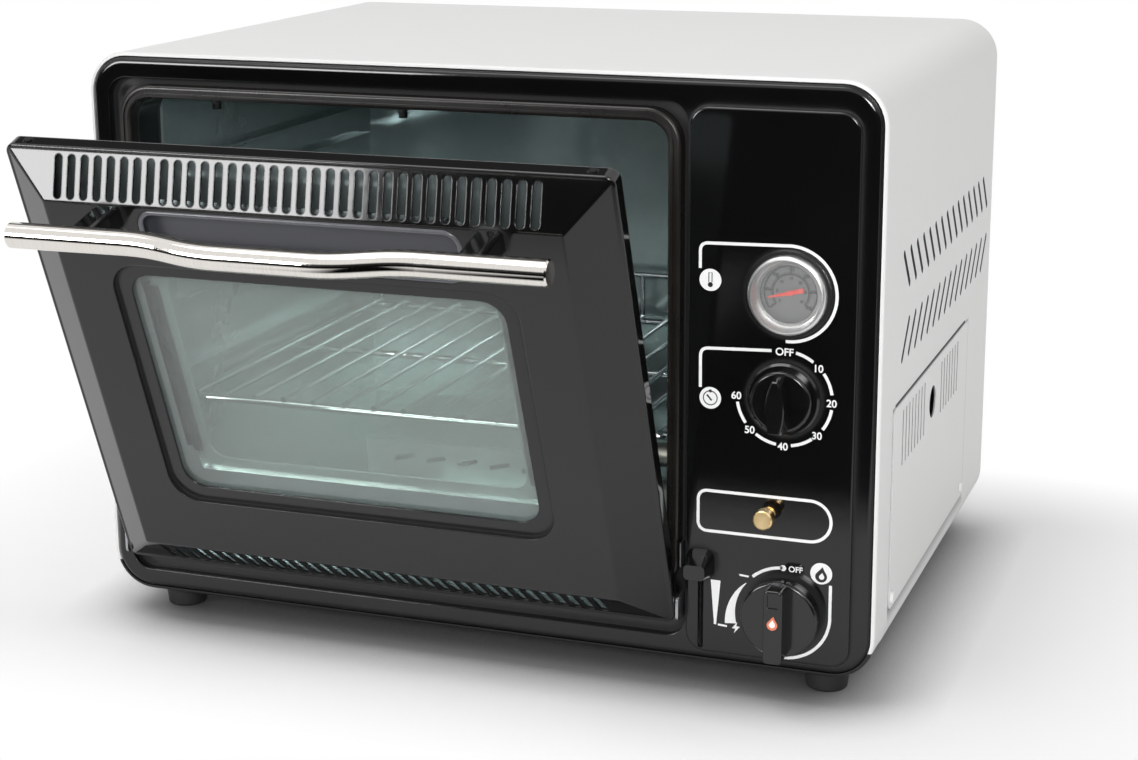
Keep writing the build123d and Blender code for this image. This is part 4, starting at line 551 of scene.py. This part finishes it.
# ---------------------------------------------------------------- door glass and its fixings
# Two panes of toughened float glass lie in the door, one in the gasket and one under strips on
# the inner panel. Iron gives them their green.
look, tree, shader, where = finish("toughened_float_glass", Metallic=0.0, IOR=1.5,
                                   Transmission_Weight=0.967)
tone, gloss = drifting(tree, where, size=70, detail=3, tones=("#e4eee9", "#f0f6f3"),
                       glosses=(0.0, 0.03))
add(tree, shader, {"Base Color": tone, "Roughness": gloss})
coat(look, "outer_glass", "inner_glass")
for pane in ("outer_glass", "inner_glass"):
    nodes[pane].visible_shadow = False

# Bright stainless strips hold the inner pane.
look, tree, shader, where = finish("bright_stainless_steel", Metallic=1.0)
tone, gloss = drifting(tree, where, size=12, detail=4, tones=("#c4c6c6", "#dcdddd"),
                       glosses=(0.12, 0.3))
add(tree, shader, {"Base Color": tone, "Roughness": gloss})
coat(look, "glass_clips")

# The door's screws are steel under black zinc, so that they hide in the enamel.
look, tree, shader, where = finish("black_zinc_plated_steel", Metallic=1.0)
tone, gloss = drifting(tree, where, size=3, detail=3, tones=("#232426", "#3a3b3e"),
                       glosses=(0.2, 0.38))
add(tree, shader, {"Base Color": tone, "Roughness": gloss})
coat(look, "door_screws")

# ---------------------------------------------------------------- thermometer
# A bowl-shaped bezel of spun aluminium, a dial of rolled aluminium under silver lacquer, a
# needle dipped in red lacquer, and a clear moulded lens.
look, tree, shader, where = finish("spun_aluminium", Metallic=1.0)
# Spinning leaves rings 0.2 mm apart, drawn as a haze 1 mm across.
tone, gloss = drifting(tree, where, size=1, detail=3, tones=("#d9d9d8", "#eeeeed"),
                       glosses=(0.32, 0.42))
add(tree, shader, {"Base Color": tone, "Roughness": gloss})
coat(look, "thermometer_bezel")

# The lacquer is an even silver grey that sparkles a little: metal flake, drawn 0.6 mm across.
look, tree, shader, where = finish("silver_lacquer", Metallic=0.6)
tone, gloss = drifting(tree, where, size=0.6, detail=2, tones=("#747473", "#888887"),
                       glosses=(0.34, 0.5))
add(tree, shader, {"Base Color": tone, "Roughness": gloss})
coat(look, "thermometer_dial")

# The red is clear and glossy, and catches the eye through the lens.
look, tree, shader, where = finish("red_lacquer", Metallic=0.0, IOR=1.5)
tone, gloss = drifting(tree, where, size=4, detail=2, tones=("#e2331f", "#ee4d38"),
                       glosses=(0.2, 0.36))
add(tree, shader, {"Base Color": tone, "Roughness": gloss})
coat(look, "thermometer_needle")

# The lens is acrylic, and only a faint shine over the dial.
look, tree, shader, where = finish("clear_moulded_lens", Metallic=0.0, IOR=1.49, Alpha=0.07)
tone, gloss = drifting(tree, where, size=15, detail=2, tones=("#e4e8e8", "#eef0f0"),
                       glosses=(0.01, 0.05))
add(tree, shader, {"Base Color": tone, "Roughness": gloss})
coat(look, "thermometer_lens")


# The dial carries two rings of graduations with a ring of numbers inside each, printed in black.
# Printed layers are thin solids: points across the face in millimetres, with 0 at the back of
# the ink and 1 at its front.
def middle_of(node):
    """The middle of a node's box as the front shows it, x and z in millimetres."""
    low, high = (np.array(corner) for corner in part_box(node))
    return ((low + high) / 2 / MM)[[0, 2]]


def arc(centre, radius, start, end, count=24):
    """The centre plus radius times (sin a, cos a), with a clockwise from the top in degrees. The
    radius may change from point to point."""
    a = np.radians(np.linspace(start, end, count))
    return centre + np.reshape(radius, (-1, 1)) * np.stack([np.sin(a), np.cos(a)], 1)


def ribbon(path, width, closed=False):
    """A rectangle carried along a path: at each of its points half the width to either side,
    square to the path, at the back and at the front."""
    path = np.asarray(path, float)
    n = len(path)
    ahead = np.roll(path, -1, 0) - np.roll(path, 1, 0) if closed else np.gradient(path, axis=0)
    ahead /= np.linalg.norm(ahead, axis=1)[:, None]
    side = np.stack([-ahead[:, 1], ahead[:, 0]], 1) * np.reshape(width, (-1, 1)) / 2
    flat = np.stack([path - side, path + side, path + side, path - side], 1)
    layer = np.broadcast_to([[0], [0], [1], [1]], (n, 4, 1))
    points = np.concatenate([flat, layer], 2).reshape(-1, 3)
    row, column = np.meshgrid(np.arange(n if closed else n - 1), np.arange(4), indexing="ij")
    after, beside = (row + 1) % n, (column + 1) % 4
    quads = np.stack([4 * row + column, 4 * row + beside, 4 * after + beside, 4 * after + column],
                     -1).reshape(-1, 4)
    if not closed:
        quads = np.concatenate([quads, [[0, 1, 2, 3], 4 * n - 1 - np.arange(4)]])
    return points, quads.tolist()


def plate(outline):
    """A flat piece: its outline drawn in to its middle at the back and again at the front."""
    outline = np.asarray(outline, float)
    n = len(outline)
    flat = np.concatenate([[outline.mean(0)], outline, outline, [outline.mean(0)]])
    layer = np.repeat([0, 0, 1, 1], [1, n, n, 1])[:, None]
    near = 1 + np.arange(n)
    beside = 1 + (np.arange(n) + 1) % n
    back = np.stack([0 * near, near, beside], 1)
    edge = np.stack([near, near + n, beside + n, beside], 1)
    front = np.stack([0 * near + 2 * n + 1, beside + n, near + n], 1)
    return np.concatenate([flat, layer], 1), back.tolist() + edge.tolist() + front.tolist()


CAPITAL = 0.7


def words(text, middle, height, bold=0.03):
    """Lettering centred on a point, as a mesh with flat sides. The height is that of a capital,
    which is CAPITAL of the font's size, and bold is what each edge moves out, of the height."""
    curve = bpy.data.curves.new("lettering", "FONT")
    curve.body = text
    curve.size = height / CAPITAL
    curve.offset = bold * height
    curve.extrude = 0.5
    curve.align_x = "CENTER"
    curve.align_y = "CENTER"
    holder = bpy.data.objects.new("lettering", curve)
    bpy.context.scene.collection.objects.link(holder)
    graph = bpy.context.evaluated_depsgraph_get()
    mesh = bpy.data.meshes.new_from_object(holder.evaluated_get(graph))
    points = np.empty(3 * len(mesh.vertices))
    mesh.vertices.foreach_get("co", points)
    points = points.reshape(-1, 3) + [*middle, 0.5]
    faces = [tuple(face.vertices) for face in mesh.polygons]
    bpy.data.objects.remove(holder)
    bpy.data.meshes.remove(mesh)
    return points, faces


def printed(name, shapes, back, thickness, look, body):
    """One printed layer of a piece: shapes laid from a depth y towards the front, in metres."""
    starts = np.cumsum([0] + [len(points) for points, _ in shapes])
    points = np.concatenate([points for points, _ in shapes])
    faces = [[int(start) + i for i in face] for start, (_, group) in zip(starts, shapes)
             for face in group]
    places = np.stack([points[:, 0] * MM, back - points[:, 2] * thickness, points[:, 1] * MM], 1)
    mesh = bpy.data.meshes.new(name)
    mesh.from_pydata(places.tolist(), [], faces)
    solid = bmesh.new()
    solid.from_mesh(mesh)
    bmesh.ops.remove_doubles(solid, verts=solid.verts[:], dist=1e-7)
    bmesh.ops.recalc_face_normals(solid, faces=solid.faces[:])
    solid.to_mesh(mesh)
    solid.free()
    mesh.materials.append(look)
    piece = bpy.data.objects.new(name, mesh)
    bpy.context.scene.collection.objects.link(piece)
    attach(piece, body)


# Black screen ink is half dull. The screen's mesh leaves spots, drawn 0.5 mm across.
black_ink, tree, shader, where = finish("black_screen_ink", Metallic=0.0, IOR=1.5)
tone, gloss = drifting(tree, where, size=0.5, detail=2, tones=("#101010", "#1e1e1e"),
                       glosses=(0.32, 0.5))
add(tree, shader, {"Base Color": tone, "Roughness": gloss})

INK = 0.06 * MM
SCALE_OUT, SCALE_IN, SCALE_LINE, SWEEP = 14.6, 9.8, 0.55, 128
STEPS, STEPS_PER_NUMBER, NUMBER_JUMP = 60, 10, 50
OUTER_NUMBERS, OUTER_HEIGHT, INNER_NUMBERS, INNER_HEIGHT, BOLD = 12.6, 1.7, 7.6, 1.6, 0.07
dial = middle_of("thermometer_bezel")
dial_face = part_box("thermometer_dial")[0][1]
shapes = [ribbon(arc(dial, radius, -SWEEP, SWEEP, 60), SCALE_LINE)
          for radius in (SCALE_OUT, SCALE_IN)]
for step in range(STEPS + 1):
    angle = SWEEP * (2 * step / STEPS - 1)
    numbered = step % STEPS_PER_NUMBER == 0
    outer, inner, width = (1.5, 2.0, 0.8) if numbered else (0.9, 1.4, 0.4)
    shapes.append(ribbon(arc(dial, [SCALE_OUT, SCALE_OUT - outer], angle, angle, 2), width))
    shapes.append(ribbon(arc(dial, [SCALE_IN, SCALE_IN + inner], angle, angle, 2), width))
    if numbered:
        number = str(NUMBER_JUMP * step // STEPS_PER_NUMBER)
        at = arc(dial, OUTER_NUMBERS, angle, angle, 1)[0]
        shapes.append(words(number, at, OUTER_HEIGHT, BOLD))
        at = arc(dial, INNER_NUMBERS, angle, angle, 1)[0]
        shapes.append(words(number[:-1] or "0", at, INNER_HEIGHT, BOLD))
printed("dial_scale", shapes, dial_face, INK / 2, black_ink, "oven")

# ---------------------------------------------------------------- control panel print
# White epoxy ink, screened on the enamel and stoved: lines lead from each symbol round its
# control, with the timer's minutes and the OFF marks. It stands a little proud and half dull.
white_ink, tree, shader, where = finish("white_screen_ink", Metallic=0.0, IOR=1.5)
tone, gloss = drifting(tree, where, size=0.5, detail=2, tones=("#e9e9e9", "#f6f6f6"),
                       glosses=(0.32, 0.5))
add(tree, shader, {"Base Color": tone, "Roughness": gloss})


def rounded(corners, radius):
    """A run of straight lines with its corners rounded: the points of each corner blend its two
    tangent points a and b over the corner c as (1-t)^2 a + 2t(1-t) c + t^2 b."""
    corners = np.asarray(corners, float)
    t = np.linspace(0, 1, 9)[:, None]
    pieces = [corners[:1]]
    for before, corner, after in zip(corners, corners[1:], corners[2:]):
        a, b = ((end - corner) / np.linalg.norm(end - corner) * radius + corner
                for end in (before, after))
        pieces.append((1 - t) ** 2 * a + 2 * t * (1 - t) * corner + t ** 2 * b)
    return np.concatenate(pieces + [corners[-1:]])


def flame(middle, size):
    """A flame or drop, in parts of its size: a circle that is narrower at the top, whose top is
    drawn up and in by the cube of the cosine of the angle from the top."""
    a = np.linspace(0, 2 * math.pi, 36, endpoint=False)
    radius = 0.42 * (1 - 0.28 * np.cos(a))
    pull = np.maximum(np.cos(a), 0) ** 3
    x = radius * np.sin(a) * (1 - 0.6 * pull) + 0.10 * pull
    z = radius * np.cos(a) + 0.32 * pull - 0.08
    return middle + size * np.stack([x, z], 1)


LINE, RING, CORNER, SYMBOL = 1.7, 26.0, 4.5, 6.1
timer = middle_of("timer_spindle")
gas = middle_of("gas_spindle")
button = middle_of("flame_button")
panel_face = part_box("thermometer_bezel")[1][1]
dial_symbol = dial + [-43.4, 4.7]
timer_symbol = timer + [-41.3, -3.3]
flame_symbol = gas + [20.7, 25.3]

# Round the thermometer: up from its symbol, along the top, and round the right of the bezel.
DIAL_LEAD = [(-49.1, 10.9), (-49.2, 24.7), (-7.0, 25.8)]
lead = rounded(dial + DIAL_LEAD, CORNER)
shapes = [ribbon(np.concatenate([lead, arc(dial, RING, 0, 183, 40)]), LINE)]

# Round the timer, with a number every 45 degrees and an arc up to each number after OFF.
TIMER_LEAD = [(-47.0, 2.4), (-47.1, 24.3), (-7.5, 25.9)]
TIMER_RING, NUMBER, NUMBER_STEP = RING + 0.3, 4.0, 45
NUMBER_SHIFT = (0.4, 0.8)
CLEAR_OF_NUMBER, CLEAR_OF_OFF = 9, 13
shapes.append(ribbon(rounded(timer + TIMER_LEAD, CORNER), LINE))
for place, label in enumerate(("OFF", "10", "20", "30", "40", "50", "60")):
    angle = place * NUMBER_STEP
    at = arc(timer, TIMER_RING, angle, angle, 1)[0] - NUMBER_SHIFT
    shapes.append(words(label, at, NUMBER))
    if place:
        start = angle - NUMBER_STEP + (CLEAR_OF_OFF if place == 1 else CLEAR_OF_NUMBER)
        shapes.append(ribbon(arc(timer, TIMER_RING, start, angle - CLEAR_OF_NUMBER, 12), LINE))

# A frame round the flame-failure button: round corners on the left, a half circle on the right.
FRAME_HALF, CURVE = 11.6, 5.0
left_end, right_end = button[0] - 40.1, button[0] + 34.7
level = button[1] - 2.1
shapes.append(ribbon(np.concatenate([
    arc((left_end + CURVE, level + FRAME_HALF - CURVE), CURVE, -90, 0, 8),
    arc((right_end - FRAME_HALF, level), FRAME_HALF, 0, 180, 20),
    arc((left_end + CURVE, level - FRAME_HALF + CURVE), CURVE, 180, 270, 8)]), LINE, closed=True))

# Round the gas knob: an arc and a dot up to OFF, the rising wedge of the flame's height with a
# dash at each end, and the line down from the flame's symbol.
OFF_AT, OFF_HEIGHT, DOT_AT = (6.4, RING - 0.3), 3.2, (-0.6, RING)
WEDGE_END, WEDGE_START = -108, -55
LINE_TOP, LINE_FOOT = (RING, 19), (RING, 6)
DASH_HALF, DASH_RISE, DASH_LINE = 2.6, 0.2, 1.1
wedge = np.linspace(6.6, 0.4, 16)
shapes.append(ribbon(arc(gas, RING, -43, -2, 14), LINE))
shapes.append(plate(arc(gas + DOT_AT, LINE, 0, 345, 20)))
shapes.append(words("OFF", gas + OFF_AT, OFF_HEIGHT))
shapes.append(ribbon(arc(gas, RING - 0.4 + wedge * 0.9, WEDGE_END, WEDGE_START, 16), wedge))
shapes.append(ribbon(np.concatenate([gas + [LINE_TOP, LINE_FOOT], arc(gas, RING, 90, 217, 24)]),
                     LINE))
for place in ((-22.6, 19.0), (-34.6, -11.6)):
    dash = [(-DASH_HALF, DASH_RISE), (DASH_HALF, -DASH_RISE)]
    shapes.append(ribbon(gas + place + dash, DASH_LINE))

# The damper's wedge beside its slot, and a spark sign under the gas knob's wedge.
DAMPER_WEDGE = [(-41.6, 14.5), (-36.0, 14.5), (-38.3, -11.5), (-39.5, -11.5)]
SPARK_AT = (-26.8, -12.0)
SPARK = [(0.6, 3.4), (-2.4, -0.6), (-0.4, -0.6), (-1.2, -3.4), (2.2, 0.8), (0.2, 0.8)]
shapes.append(plate(gas + DAMPER_WEDGE))
shapes.append(plate(gas + SPARK_AT + SPARK))
for symbol in (dial_symbol, timer_symbol, flame_symbol):
    shapes.append(plate(arc(symbol, SYMBOL, 0, 351, 40)))
printed("panel_print", shapes, panel_face, INK, white_ink, "oven")

# The symbols are black on the three white discs: a thermometer, a clock and a flame with a white
# heart.
STEM, BULB_AT, BULB = [(-0.9, -1.2), (-0.9, 4.0), (0.9, 4.0), (0.9, -1.2)], (0, -2.6), 1.4
CLOCK, HAND, CROWN = 3.9, [(0.8, -1.4), (-1.9, 1.7)], 0.9
FLAME_AT, FLAME, HEART_AT, HEART = (0, -0.3), 7.6, (0.3, -1.3), 3.4
shapes = [ribbon(dial_symbol + STEM, 0.5),
          plate(arc(dial_symbol + BULB_AT, BULB, 0, 340, 18)),
          ribbon(arc(timer_symbol, CLOCK, 12, 348, 28), 0.6),
          ribbon(timer_symbol + HAND, 1.0),
          plate(arc(timer_symbol + [0, CLOCK], CROWN, 0, 330, 12)),
          plate(flame(flame_symbol + FLAME_AT, FLAME))]
printed("symbol_print", shapes, panel_face - INK, INK, black_ink, "oven")
printed("flame_core_print", [plate(flame(flame_symbol + HEART_AT, HEART))],
        panel_face - 2 * INK, INK, white_ink, "oven")

# ---------------------------------------------------------------- gas knob's mark
# A drop with a pale heart, pad printed on the flat of the knob's grip. The orange ink is bright
# and glossy, and turns with the knob.
orange_ink, tree, shader, where = finish("orange_pad_ink", Metallic=0.0, IOR=1.5)
tone, gloss = drifting(tree, where, size=0.8, detail=2, tones=("#d2643f", "#e58a68"),
                       glosses=(0.3, 0.45))
add(tree, shader, {"Base Color": tone, "Roughness": gloss})
MARK_AT, MARK, MARK_HEART_AT, MARK_HEART = (0, 3.0), 6.8, (0, 2.6), 3.9
grip_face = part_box("gas_knob")[0][1]
printed("gas_knob_mark", [plate(flame(gas + MARK_AT, MARK))], grip_face, INK, orange_ink,
        "gas_control")
printed("gas_knob_mark_heart", [plate(flame(gas + MARK_HEART_AT, MARK_HEART))], grip_face - INK,
        INK, white_ink, "gas_control")
